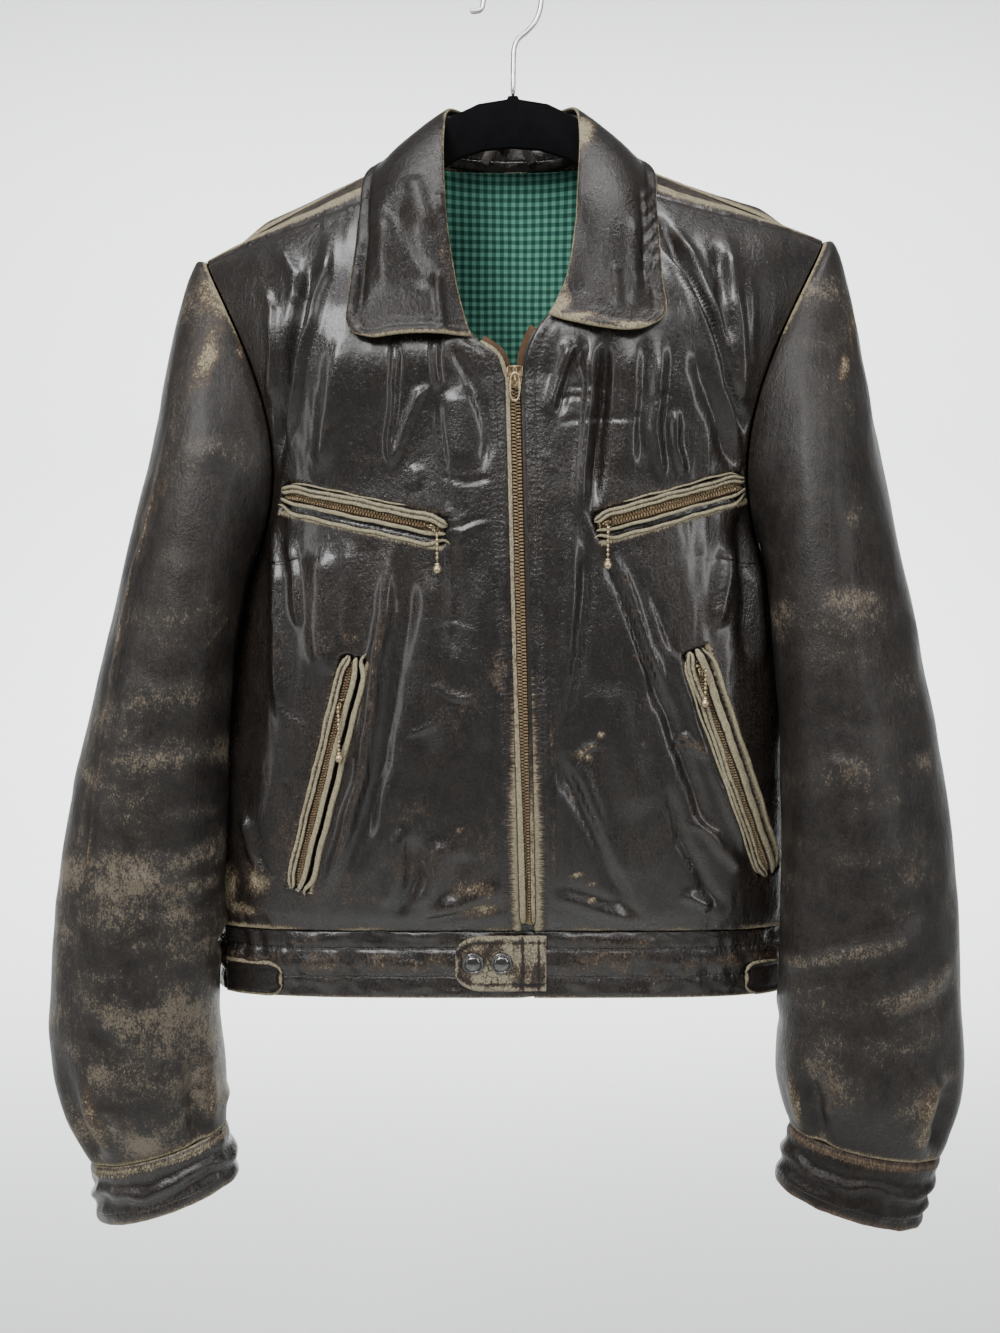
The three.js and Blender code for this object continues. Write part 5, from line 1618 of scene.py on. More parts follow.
POCKETS_LEFT = (
    Pocket("chest_left", (-148, -336), (-42, -358), ((6.5, 3.1, 2.8, 2), (-3.0, 1.5, 2.0, 1)),
           ((-9.9, 1.5, 1.7, -0.02, 1.04), (10.4, 0.8, 0.7, 0.0, 0.75)), (1.3, 4.2), 0.93, 25),
    Pocket("hand_left", (-143, -594), (-101, -438), ((5.4, 3.2, 2.6, 2), (-3.6, 2.1, 2.4, 1)),
           ((-9.6, 2.3, 2.0, -0.02, 1.03),), (0.6, 3.6), 0.81, 37, 8.3),
)
POCKETS_RIGHT = (
    Pocket("chest_right", (52, -355), (149, -329), ((6.4, 2.8, 2.6, 2), (-4.2, 1.2, 1.8, 1)),
           ((-9.8, 1.4, 1.6, -0.03, 1.0), (10.4, 0.8, 0.7, 0.2, 1.0)), (0.8, 5.6), 0.06, 27),
    Pocket("hand_right", (174, -588), (116, -434), ((6.4, 3.2, 2.0, 2), (-2.6, 3.0, 2.8, 1)),
           ((-9.8, 1.8, 1.8, 0.0, 1.0), (10.3, 1.1, 1.0, 0.0, 1.0)), (1.6, 4.0), 0.93, 25, 8.6),
)


# ---------------------------------------------------------------- back, lining and sleeves

# The long vertical folds of the back: where each one starts across it, and its height in millimetres.
BACK_FOLDS = ((-150, 2.6), (-108, -1.7), (-70, 2.4), (-18, -1.2), (40, 2.6), (84, -1.8), (128, 2.8),
              (160, -1.6))
class Back:
    """The back panel and the checked lining inside it."""

    def grid(self, half: Array, v: Array, narrow: Callable = None) -> Array:
        """Both halves in one row, left side to right side.

        Args:
            half: widths from 1 at a side down to, but not at, 0.
            v: heights.
            narrow: factor on the widths at each height.

        Returns:
            (rows, columns, 3) points.
        """
        factor = np.ones_like(v) if narrow is None else narrow(v)
        u = half[None, :] * factor[:, None]
        left = LEFT.back(u, v[:, None])
        right = RIGHT.back(u[:, ::-1], v[:, None])
        middle = LEFT.back(np.zeros((len(v), 1)), v[:, None])
        return np.concatenate([left, middle, right], axis=1)

    def build(self, wardrobe: Wardrobe) -> None:
        """Makes and dresses the back and the lining."""
        half = (1 - spaced(74, 250))[:-4]
        v = spaced(150, 520) * 0.993
        panel = Panel(self.grid(half, v) + TOWARDS * SEAM, AWAY, HIDE)
        g = panel.grid
        folds = tuple(Fold(((x0, -170 - 8 * k), (x0 * 0.9 + 5, -330), (x0 * 0.8 - 4, -560)), 8, h, 0.2)
                      for k, (x0, h) in enumerate(BACK_FOLDS))
        height, wear = pressed(g, folds, 61)
        relief = panel.inside(18) * (draped(g, 1.3, 60) + height)
        top = bell(panel.v1, 7) * (np.abs(g[..., 0]) > 50)
        relief = relief + 0.6 * bell(panel.v0, 8) * noise(g, (7, 7, 20), 62)
        low = Patch(0, -590, 190, 26, 0.3).reach(g[..., 0], g[..., 2])
        piece = panel.piece("back_hide", relief, wear=np.maximum(wear, low),
                            wear_z=np.maximum(top * 0.95, bell(panel.v0, 5) * 0.7),
                            scuff=0.16 + 0.5 * noise(g, (60, 60, 90), 63, 2))
        wardrobe.dress(piece, BACK_HIDE, replaces=["back"])
        declare(piece, panel)
        self.lining(wardrobe)

    def lining(self, wardrobe: Wardrobe) -> None:
        """The lining: the back's own surface moved inwards, narrowing to the neck, softly rippled."""
        half = (1 - spaced(56, 230))[:-4] * 0.9
        v = 0.04 + (0.991 - 0.04) * spaced(124, 480)
        grid = self.grid(half, v, lambda h: lerp(1, 0.36, ease((h - 0.78) / 0.17)))
        first = Panel(grid, TOWARDS, CLOTH)
        inset = 6.4 + 1.6 * ease((v - 0.72) / 0.1) * (1 - 0.9 * ease((v - 0.94) / 0.05))
        panel = Panel(grid + first.normal * inset[:, None, None], TOWARDS, CLOTH)
        relief = 0.7 * noise(panel.grid, (22, 40, 60), 70, 2) * panel.inside(15)
        piece = panel.piece("lining_check", relief, u0=panel.grid[..., 0], v0=panel.grid[..., 2])
        wardrobe.dress(piece, Gingham(), replaces=["lining"])
        declare(piece, panel)


@dataclass
class Sleeve:
    """A sleeve and its cuff.

    pleats are (angle, width, depth) at the cuff seam; dryness is how scuffed the sleeve is at its top
    and its foot.
    """

    name: str
    form: SleeveForm
    finish: Hide
    folds: tuple
    patches: tuple
    scuffs: tuple
    pleats: tuple
    seed: int
    dryness: tuple

    def build(self, wardrobe: Wardrobe) -> None:
        """Makes and dresses the sleeve and the cuff."""
        angle = np.linspace(-math.pi / 2, 1.5 * math.pi, 132, endpoint=False)
        t = spaced(196, 620) * 0.997
        clear = np.array([self.form.side.sign * SEAM, 0, 0])
        grid = self.form.ring(t[:, None], angle[None, :]) + clear
        middle = self.form.middle(t[:, None] + 0 * angle[None, :])
        panel = Panel(grid, grid - middle, HIDE, wrap=True)
        front = ease(np.sin(angle) * 2.2)[None, :]
        height, wear = pressed(grid, self.folds, self.seed)
        behind, behind_wear = pressed(grid + np.array([0.0, 0.0, 34.0]), self.folds, self.seed + 3)
        height = height * front + behind * (1 - front)
        wear = np.maximum(wear * front, behind_wear * (1 - front) * 0.8)
        elbow = np.sin(grid[..., 2] / 13 + grid[..., 0] / 30 + noise(grid, (50, 50, 50), self.seed + 7) * 3)
        elbow = elbow * bell(t[:, None] - 0.5, 0.22) * np.clip(np.sin(-angle), 0, 1)[None, :] * 1.6
        height = (height + draped(grid, 1.1, self.seed + 9) + elbow
                  + 1.2 * noise(grid, (40, 40, 34), self.seed + 11, 2))
        tuck = np.zeros_like(height)
        for at, width, depth in self.pleats:
            for place in (at, -at):
                away = np.abs(np.angle(np.exp(1j * (angle - place))))[None, :]
                tuck = tuck - depth * bell(away, width) * ease((t[:, None] - 0.88) / 0.1)
                tuck = tuck * (1 - 0.5 * ease((t[:, None] - 0.972) / 0.028)) + 0.45 * depth * bell(
                    np.angle(np.exp(1j * (angle - place - 1.7 * width)))[None, :], width
                ) * bell(t[:, None] - 0.955, 0.035)
        relief = panel.inside(10, "v0 v1") * height + tuck
        ridge = np.clip(
            relief - (relief[np.clip(np.arange(len(t)) + 4, 0, len(t) - 1)]
                      + relief[np.clip(np.arange(len(t)) - 4, 0, None)]) / 2,
            0, 2
        )
        wear = np.maximum(wear, patched(grid, self.patches) * (0.35 + 0.65 * front))
        wear = np.maximum(wear, 0.3 * np.clip(tuck, 0, 2))
        mottle = (lerp(*self.dryness, ease(t[:, None] * 1.3 - 0.15))
                  + 1.15 * noise(grid, (46, 46, 26), self.seed + 31, 4))
        scuff = np.maximum(np.maximum(patched(grid, self.scuffs) * 0.9, mottle), ridge * 0.3)
        piece = panel.piece(self.name + "_hide", relief, wear=wear, scuff=scuff,
                            wear_z=bell(panel.v1, 4) * 0.8,
                            wear_x=bell(panel.v0, 3.5) * (0.3 + 0.6 * ease((grid[..., 2] + 250) / 30)))
        wardrobe.dress(piece, SLEEVE_HIDE, replaces=[self.name])
        declare(piece, panel)
        self.cuff(wardrobe, angle)

    def cuff(self, wardrobe: Wardrobe, angle: Array) -> None:
        """The cuff: two crosswise folds and puckers at both rows of stitching."""
        w = -0.05 + 1.05 * spaced(26, 46)
        grid = self.form.cuff(w[:, None] + 0 * angle[None, :], angle[None, :] + 0 * w[:, None])
        middle = self.form.middle(np.ones_like(w)[:, None] + 0 * angle[None, :])
        panel = Panel(grid, grid - middle, CUFF_HIDE, wrap=True)
        bend = (1.7 * np.sin(panel.v0 / 2.6 + noise(grid, (16, 16, 16), self.seed + 21) * 2.2)
                * bell(w[:, None] - 0.5, 0.33))
        relief = (bend + 0.9 * noise(grid, (7, 7, 16), self.seed + 22, 2) + 0.6 * bell(panel.v0 - 5, 3)
                  + 0.6 * bell(panel.v1 - 4, 3))
        name = self.name.replace("sleeve", "cuff")
        worn = np.maximum(bell(panel.v0, 2.6), bell(panel.v1, 2.6)) * 0.55
        piece = panel.piece(name + "_hide", relief, wear=worn * 0.6 + 0.22 * np.clip(bend, 0, 1.4),
                            u1=np.full_like(worn, 99.0),
                            wear_z=0.62 * np.maximum(bell(panel.v0 - 4, 3.6), bell(panel.v1 - 1, 4.5)))
        wardrobe.dress(piece, self.finish, replaces=[name])
        declare(piece, panel)


# ---------------------------------------------------------------- collar
def rounded_corners(grid: Array, radius: float) -> Array:
    """Rounds the last column's two corners: offsets (a, b) from each arc's centre shrink from square to disc.

    Args:
        grid: (rows, columns, 3) points.
        radius: of the corners, in millimetres.

    Returns:
        The grid with the corners drawn in.
    """
    panel = Panel(grid, TOWARDS, 1)
    along, across = unit(np.gradient(grid, axis=0)), unit(np.gradient(grid, axis=1))
    out = grid.copy()
    for edge, sign in ((panel.v0, 1.0), (panel.v1, -1.0)):
        a, b = np.clip(radius - edge, 0, radius), np.clip(radius - panel.u1, 0, radius)
        shrink = 1 - np.maximum(a, b) / np.maximum(np.hypot(a, b), 1e-6)
        shrink = np.where((a > 0) & (b > 0), shrink, 0)
        out += along * (sign * a * shrink)[..., None] - across * (b * shrink)[..., None]
    return out


class Collar:
    """The fall, a sheet rolled over from the neck seam, and the stand inside it.

    Each row is a key and four points across: neck seam, roll, middle of the fall, free edge.
    t runs from the left front end at 0 round the neck to the right at 2; s from the roll to the free edge.
    """

    LEFT_ROWS = (
        (0, (-22, -76.5, -240), (-25, -82, -240), (-60, -82, -240), (-91, -76, -245)),
        (0.06, (-28, -75.5, -232), (-29, -80, -228), (-66, -81, -230), (-100, -75, -234)),
        (0.16, (-40, -72, -216), (-34, -74, -208), (-70, -78, -209), (-100, -74, -217)),
        (0.34, (-56, -55, -180), (-40, -58, -170), (-72, -66, -173), (-98, -60, -185)),
        (0.5, (-63, -34, -149), (-43, -38, -134), (-73, -43, -140), (-97, -40, -160)),
        (0.64, (-61, -11, -115), (-44, -16, -102), (-70, -15, -110), (-94, -12, -131)),
        (0.77, (-52, 12, -110), (-42, 10, -81), (-59, 15, -93), (-76, 20, -114)),
        (0.89, (-32, 34, -110), (-27, 36, -77), (-40, 49, -89), (-49, 56, -117)),
    )
    BACK_ROW = (1, (0, 42.5, -110), (0, 44, -77), (0, 59, -89), (0, 62, -118))
    RIGHT_ROWS = (
        (0, (18, -78, -232), (21, -84, -227), (56, -83, -237), (85, -76, -237)),
        (0.06, (25, -76.5, -223), (26, -81, -218), (60, -81.5, -226), (92, -75, -227)),
        (0.16, (36, -73, -209), (33, -74, -200), (64, -78, -205), (91, -73, -212)),
        (0.34, (53, -55, -176), (38, -58, -166), (67, -65, -171), (91, -60, -183)),
        (0.5, (61, -34, -147), (41, -38, -132), (69, -43, -137), (91, -39, -156)),
        (0.64, (59, -11, -113), (43, -16, -100), (67, -15, -108), (91, -12, -128)),
        (0.77, (50, 12, -109), (41, 10, -80), (57, 15, -91), (74, 20, -112)),
        (0.89, (31, 34, -110), (27, 36, -76), (40, 49, -88), (49, 56, -116)),
    )
    FOLDS = (
        Fold(((-76, -150), (-70, -172), (-60, -192), (-50, -212)), 6.5, -2.4),
        Fold(((-82, -158), (-80, -190), (-77, -216)), 6, 1.6, 0.12),
        Fold(((-92, -150), (-92, -190), (-91, -226)), 2.4, -1.5),
        Fold(((-62, -136), (-58, -160), (-54, -176)), 6, 1.5, 0.1),
        Fold(((-46, -198), (-45, -216), (-43, -236)), 2.6, 1.6, 0.3),
        Fold(((-47, -148), (-45, -162)), 3, 1.2, 0.2),
        Fold(((80, -140), (81, -180), (80, -214)), 2.2, -1.5),
        Fold(((74, -165), (74, -200), (72, -226)), 4, 1.4, 0.1),
        Fold(((62, -195), (63, -225)), 3, 1.0),
        Fold(((40, -150), (44, -190), (46, -220)), 8, -1.2),
        *(Fold(((80, -152 - 11 * k), (89, -143 - 10 * k)), 2.2, 0.8, 0.2) for k in range(6)),
    )
    PATCHES = (
        Patch(-38, -104, 14, 10, 0.75, -20), Patch(-40, -122, 6, 16, 0.4), Patch(40, -104, 12, 14, 0.95, 20),
        Patch(40, -126, 6, 22, 0.6), Patch(32, -196, 4, 26, 0.8, -6), Patch(28, -218, 8, 10, 1.0, -40),
        Patch(38, -228, 20, 3.6, 1.1, -10), Patch(-50, -241, 24, 2.6, 0.95, -3), Patch(-98, -228, 5, 12, 0.5),
        Patch(90, -222, 8, 16, 0.45), Patch(70, -234, 26, 3.5, 0.8), Patch(-38, -190, 4, 26, 0.45),
        Patch(36, -160, 4, 20, 0.5),
    )

    def line(self, which: int, t: Array) -> Array:
        """One of the four lines at t."""
        rows = [*self.LEFT_ROWS, self.BACK_ROW, *[(2 - r[0], *r[1:]) for r in self.RIGHT_ROWS[::-1]]]
        return through([r[0] for r in rows], [r[1 + which] for r in rows], t)

    def fall(self, t: Array, s: Array) -> Array:
        """The fall: a quadratic bow from the roll through the middle to the free edge."""
        a, m, b = self.line(1, t), self.line(2, t), self.line(3, t)
        s = s[..., None]
        return a * (1 - s) ** 2 + (2 * m - (a + b) / 2) * 2 * s * (1 - s) + b * s * s

    def lifted(self, t: Array, s: Array, clearance: float) -> Array:
        """The fall pushed off the panels under it, worked out coarsely and read smoothly."""
        coarse_t, coarse_s = np.linspace(0, 2, 61), np.linspace(0, 1, 11)
        p = self.fall(coarse_t[:, None] + 0 * coarse_s, coarse_s[None, :] + 0 * coarse_t[:, None])
        u, v = np.meshgrid(np.linspace(0, 1, 46), np.linspace(0.7, 0.999, 32))
        spots, ways = [], []
        for side in (LEFT, RIGHT):
            for surface, facing in ((side.front, TOWARDS), (side.back, AWAY)):
                panel = Panel(surface(u, v), facing, HIDE)
                spots.append(panel.grid.reshape(-1, 3))
                ways.append(panel.normal.reshape(-1, 3))
        spots, ways = np.concatenate(spots), np.concatenate(ways)
        start = p.copy()
        for _ in range(3):
            flat = p.reshape(-1, 3)
            gap = ((flat[:, None] - spots[None]) ** 2).sum(axis=-1)
            best = gap.argmin(axis=1)
            off = np.sum((flat - spots[best]) * ways[best], axis=1)
            short = np.where(gap.min(axis=1) < 400, np.maximum(0, clearance - off), 0)
            p = (flat + ways[best] * short[:, None]).reshape(p.shape)
        moved = (p - start) * (coarse_s >= 0.15)[None, :, None]
        for _ in range(2):
            moved[1:-1] = (moved[:-2] + 2 * moved[1:-1] + moved[2:]) / 4
        by_t = through(coarse_t, moved, t[:, 0])
        return self.fall(t, s) + np.swapaxes(through(coarse_s, np.swapaxes(by_t, 0, 1), s[0]), 0, 1)

    def build(self, wardrobe: Wardrobe) -> None:
        """Makes and dresses the fall and the stand."""
        s = spaced(44, 62, (0, 0.25, 0.7, 1.6))
        t = 2 * spaced(230, 520)
        grid = rounded_corners(self.lifted(t[:, None], s[None, :], DOUBLE_HIDE + 1.8), 11)
        near = np.minimum(t, 2 - t)[:, None] * 260
        grid = grid + TOWARDS * (6 * bell(near, 14) * ease(s[None, :] / 0.4))[..., None]
        panel = Panel(grid, grid - np.array([0.0, 0.0, -180.0]), DOUBLE_HIDE)
        height, wear = pressed(grid, self.FOLDS, 81)
        facing = grid[..., 1] < 6
        relief = 1.5 * height * facing * ease(panel.v0 / 5 + 0.2) + 0.5 * noise(grid, (24, 24, 34), 83, 2)
        rim = np.minimum(np.minimum(panel.v0, panel.v1), panel.u1)
        relief = (relief + 0.7 * bell(rim - 2.5, 2.5) - 0.9 * bell(rim - 8.3, 1.2)
                  + 0.35 * bell(rim - 5, 3) * noise(grid, (4, 4, 4), 84))
        wear = np.maximum(wear, patched(grid, self.PATCHES))
        wear = np.maximum(wear, 0.42 * bell(panel.u0, 5))
        piece = panel.piece("collar_fall_hide", relief, wear=wear, scuff=0.1 + 0 * wear,
                            wear_x=bell(panel.u1, 1.8) * (0.35 + 0.5 * (grid[..., 0] > 0)), wear_z=bell(
                                np.minimum(panel.v0, panel.v1), 3.2
                            ) * facing * 0.85)
        wardrobe.dress(piece, COLLAR_HIDE, replaces=["collar_fall"])
        declare(piece, panel)
        t = 0.3 + 1.4 * spaced(150, 380)
        s = -0.14 + 0.96 * spaced(18, 36)
        seam, roll = self.line(0, t), self.line(1, t)
        stand = Panel(lerp(seam[:, None], roll[:, None], s[None, :, None]), TOWARDS, 1.8)
        inwards = np.array([0.0, 0.0, -95.0]) - stand.grid
        stand = Panel(stand.grid + unit(inwards * [1.0, 1.0, 0.0]) * 1.6, inwards, 1.8)
        relief = 1.3 * noise(stand.grid, (13, 13, 8), 87, 2)
        piece = stand.piece("collar_stand_hide", relief, wear=0.2 * bell(stand.u0, 3))
        wardrobe.dress(piece, FRONT_HIDE, replaces=["collar_stand"])
        declare(piece, stand)


# ---------------------------------------------------------------- waistband, tabs and snaps
class Waistband:
    """The band's three lengths, the snap tab with its two snaps, and the side tabs."""

    def on_band(self, x: Array, w: float) -> tuple[Array, Array]:
        """The band's front at given x, by halving, with its unit normals.

        Args:
            x: places along it.
            w: share of the way down.

        Returns:
            (points, normals).
        """
        x = np.asarray(x, float)
        points = []
        for side in (LEFT, RIGHT):
            low, high = np.zeros_like(x), np.ones_like(x)
            for _ in range(34):
                mid = (low + high) / 2
                short = (side.band(1, mid, np.full_like(x, w))[..., 0] - x) * side.sign < 0
                low, high = np.where(short, mid, low), np.where(short, high, mid)
            points.append(side.band(1, low, np.full_like(x, w)))
        p = np.where((x < zip_x(WAIST_Z))[..., None], points[0], points[1])
        p = np.stack([x, p[..., 1], p[..., 2]], axis=-1)
        run = np.gradient(p, axis=0)
        return p, unit(vec(run[..., 1], -run[..., 0], 0) * -np.sign(-run[..., 0])[..., None])

    def band(self, wardrobe: Wardrobe, name: str, grid: Array, facing: Array, seed: int) -> None:
        """One length of band with lengthwise folds and puckers at its stitching."""
        panel = Panel(grid, facing, DOUBLE_HIDE)
        fade = panel.inside(4, "v0 v1")
        soft = 1.2 * noise(grid, (26, 26, 8), seed, 2) + 1.4 * noise(grid, (9, 9, 14), seed + 1, 2)
        soft = soft + 1.9 * (
            0.5 - np.abs(noise(grid + grid[..., 2:] * [0.35, 0, 0], (13, 13, 24), seed + 4, 2)) * 1.6
        )
        pleat = (1.5 * bell(panel.v0 - 22, 7) - 1.0 * bell(panel.v0 - 12, 1.6)
                 - 0.9 * bell(panel.v1 - 15, 1.6) + 0.5 * bell(panel.v0 - 6, 3.5))
        relief = (fade * (soft + pleat)
                  + 0.3 * noise(grid, (4, 4, 7), seed + 2) * bell(np.minimum(panel.v0, panel.v1) - 4, 4))
        crest = np.clip(relief - 0.6, 0, 1) * 0.45
        piece = panel.piece(name + "_hide", relief, wear=crest, wear_z=bell(panel.v1, 2.2) * 0.8)
        wardrobe.dress(piece, BAND_HIDE, replaces=[name])
        declare(piece, panel)

    def tab(self, wardrobe: Wardrobe, name: str, span: tuple, w: float, half: float, point: float,
            finish: Hide) -> None:
        """A tab lying on the band, its end drawn in evenly to a blunt point.

        Args:
            wardrobe: for its finish.
            name: the solid it stands for.
            span: x of its pointed end and of its other end.
            w: share down the band.
            half: half height.
            point: how long the drawn-in end is.
            finish: its hide.
        """
        length = abs(span[1] - span[0])
        d = length * spaced(50, length, (0, 0.3, 0.8, 1.6))
        x = span[0] + math.copysign(1, span[1] - span[0]) * d
        places, normals = self.on_band(x, w)
        shape = half * (0.34 + 0.66 * np.sqrt(1 - (1 - np.clip(d / point, 0, 1)) ** 1.8))
        q = 2 * spaced(22, 2 * half, (0, 0.3, 0.8, 1.6)) - 1
        up = np.array([0.0, 0.0, 1.0])
        grid = places[:, None] + normals[:, None] * 3.0 + up * (shape[:, None] * q[None])[..., None]
        panel = Panel(grid, TOWARDS, 2.0)
        rim = np.minimum(np.minimum(panel.u0, panel.u1), panel.v0)
        relief = (0.5 * bell(rim - 2.4, 1.6) - 0.45 * bell(rim - 4.8, 0.9)
                  + 0.25 * noise(grid, (9, 9, 5), 91, 2))
        if finish is TAB_HIDE:
            for level in (-0.32, 0.36):
                relief = relief - 0.5 * bell((q[None] - level) * half, 0.8)
            relief = relief - 0.6 * bell(panel.v1 - 16, 1) - 0.6 * bell(panel.v1 - 5, 1)
        worn = 0.66 if finish is TAB_HIDE else 0.0
        wear = worn + (0.9 - worn) * bell(rim - 1.4, 1.3) + 0.6 * worn * noise(grid, (7, 7, 9), 92, 3)
        # dark is painted shade: the groove inside the rim and the two crosswise creases, where the relief is
        # sunk, are darkened by taking wear off there.
        dark = 0.3 * bell(rim - 5, 1) + 0.5 * (
            bell(panel.v1 - 16, 0.8) + bell(panel.v1 - 5, 0.8)
        ) if finish is TAB_HIDE else 0
        # The wear given here is lowered by the painted groove shade as well as raised by real rubbing.
        piece = panel.piece(name + "_hide", relief, wear=np.clip(wear - dark, 0, 1))
        wardrobe.dress(piece, finish, replaces=[name])
        declare(piece, panel)

    def build(self, wardrobe: Wardrobe) -> None:
        """Makes and dresses the band and everything on it."""
        w = spaced(30, BAND_HEIGHT)
        for side, name, seed in ((LEFT, "band_front_left", 101), (RIGHT, "band_front_right", 104)):
            u = 0.9995 * spaced(96, 205)
            grid = side.band(1, u[None, :] + 0 * w[:, None], w[:, None] + 0 * u[None, :])
            if side is LEFT:
                edge = RIGHT.band(1, np.zeros((len(w), 1)), w[:, None])
                share = np.linspace(1.7, 0.1, 8)[None, :, None]
                under = lerp(grid[:, :1], edge, share) + AWAY * 2.2 * share
                grid = np.concatenate([under, grid], axis=1)
            self.band(wardrobe, name, grid, TOWARDS, seed)
        half = (1 - spaced(70, 200))[:-4]
        left = LEFT.band(-1, half[None, :] + 0 * w[:, None], w[:, None] + 0 * half[None, :])
        right = RIGHT.band(-1, half[None, ::-1] + 0 * w[:, None], w[:, None] + 0 * half[None, :])
        zero = np.zeros((len(w), 1))
        middle = LEFT.band(-1, zero, w[:, None])
        self.band(wardrobe, "band_back", np.concatenate([left, middle, right], axis=1) + TOWARDS * 2 * SEAM,
                  AWAY, 107)
        self.tab(wardrobe, "snap_tab", (-38, 23), 0.46, 19.5, 17, TAB_HIDE)
        self.tab(wardrobe, "side_tab_left", (-155, -196), 0.72, 12.5, 10, SIDE_TAB_HIDE)
        self.tab(wardrobe, "side_tab_right", (158, 184), 0.72, 12.5, 10, SIDE_TAB_HIDE)
        for k, x in enumerate((-26.0, -7.0)):
            low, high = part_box(f"snap_{k + 1}")
            base = np.array([x, high[1] / MM, (low[2] + high[2]) / 2 / MM])
            dome_profile = [(0.01, 3.4), (2.2, 3.25), (4.0, 2.75), (5.0, 2.1), (5.35, 1.5), (5.6, 1.35),
                            (6.0, 1.75),
                            (6.6, 1.9), (7.1, 1.6), (7.4, 0.9), (7.4, 0.1), (0.01, 0)]
            vertices, faces = turned(dome_profile, base, TOWARDS, 48)
            snap = make_object(f"snap_{k + 1}_cap", vertices, [faces])
            wardrobe.dress(snap, SNAP_METAL, replaces=[f"snap_{k + 1}"])


# ---------------------------------------------------------------- the main zip
class MainZip:
    """The tapes, the teeth, the rubbed edges beside them, the slider and its pull."""

    SLIDER_Z = -264.0

    def edge_path(self, side: BodySide, low: float, high_key: float, count: int) -> Array:
        """The front edge from near the waist up round the start of the neck."""
        v = np.linspace(low, NECK_ROW + (1 - NECK_ROW) * high_key, count)
        return side.front_inner(v)

    def build(self, wardrobe: Wardrobe) -> None:
        """Makes and dresses the zip."""
        for side, name, inset, half, height in (
            (LEFT, "left", -2.4, 2.5, 1.5), (RIGHT, "right", -1.8, 1.7, 1.2)
        ):
            path = self.edge_path(side, 0.012, 0.2, 170)
            tangent = unit(np.gradient(path, axis=0))
            across = unit(np.cross(tangent, TOWARDS)) * -side.sign
            across = across * np.sign(across[:, :1] * side.sign)
            low = ease((-420 - path[:, 2]) / 180)
            centre = path + across * (1.2 + inset * (0.45 + 0.55 * low))[:, None] + TOWARDS * 0.2
            swell = (0.66 + 0.34 * low) * rounded_ends(170, 0.02, 0.3)
            section = dome(half, height, 1.4)
            worn = ((0.8 + 0.15 * low if side is LEFT else 0.15 + 0.6 * low)[:, None]
                    * (1 - 0.9 * ease((np.abs(section[:, 0]) / half - 0.6) / 0.4)))
            edge = sweep(f"zip_edge_{name}", centre, across, np.broadcast_to(TOWARDS, path.shape), section,
                         swell, worn, "wear_x")
            wardrobe.dress(edge, EDGE_HIDE)
            tape_path = path + across * 5.2 + AWAY * (HIDE + 0.6)
            flat = np.array([[-9.5, -0.3], [5.5, -0.3], [5.5, 0.3], [-9.5, 0.3]])
            tape = sweep(f"zip_tape_{name}_cloth", tape_path, across, np.broadcast_to(TOWARDS, path.shape),
                         flat)
            wardrobe.dress(tape, TAPE, replaces=["zip_tape_" + name])
        z = np.linspace(-617, self.SLIDER_Z - 5, 240)
        chain = vec(zip_x(z), front_depth(z) + 0.7, z)
        ones = np.ones((len(z), 1))
        teeth = Teeth(chain, ones * np.array([1.0, 0, 0]), ones * TOWARDS, 5.8).build("zip_teeth")
        wardrobe.dress(teeth, BRASS, replaces=["zip_chain"])
        self.slider(wardrobe)

    def slider(self, wardrobe: Wardrobe) -> None:
        """The slider's plate, cheeks and bridge, and the long ring that swings on it."""
        low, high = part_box("zip_slider")
        centre = (np.array(low) + np.array(high)) / 2 / MM
        front = low[1] / MM
        axes = np.eye(3)
        parts = []
        for dx, dz, hx, hz in ((0, 3.2, 4.8, 3.4), (0, -1.8, 4.1, 3.2), (0, -5.0, 3.0, 1.6)):
            plate = np.array([[centre[0] + dx, front + 2.0, centre[2] + dz]])
            parts.append(blocks(plate, axes[None], np.array([hx, 1.6, hz]), 0.7))
        bridge = np.array([[centre[0], front + 0.5, centre[2] + 1.5]])
        parts.append(blocks(bridge, axes[None], np.array([1.1, 1.1, 4.2]), 0.5))
        vertices, faces = joined(parts)
        wardrobe.dress(make_object("zip_slider_body", vertices, faces), BRASS,
                       replaces=["zip_slider"])
        low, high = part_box("zip_pull")
        x, y = (low[0] + high[0]) / 2 / MM, (low[1] + high[1]) / 2 / MM
        top, bottom = high[2] / MM, low[2] / MM
        a = np.linspace(0, 2 * math.pi, 48, endpoint=False)
        half = (top - bottom) / 2 - 0.9
        ring = vec(x + np.sign(np.cos(a)) * np.abs(np.cos(a)) ** 0.75 * 2.9, y + 0 * a,
                   (top + bottom) / 2 + np.sign(np.sin(a)) * np.abs(np.sin(a)) ** 0.8 * half)
        b = np.linspace(0, 2 * math.pi, 12, endpoint=False)
        middle = np.array([x, y, (top + bottom) / 2])
        outwards = unit(ring - middle)
        points = (ring[:, None] + outwards[:, None] * (0.85 * np.cos(b))[None, :, None]
                  + TOWARDS * (0.7 * np.sin(b))[None, :, None])
        loop = quads(len(a) + 1, len(b), True) % (len(a) * len(b))
        pull = make_object("zip_pull_ring", points.reshape(-1, 3), [loop])
        wardrobe.dress(pull, PALE_BRASS, body="zip_pull", replaces=["zip_pull"])


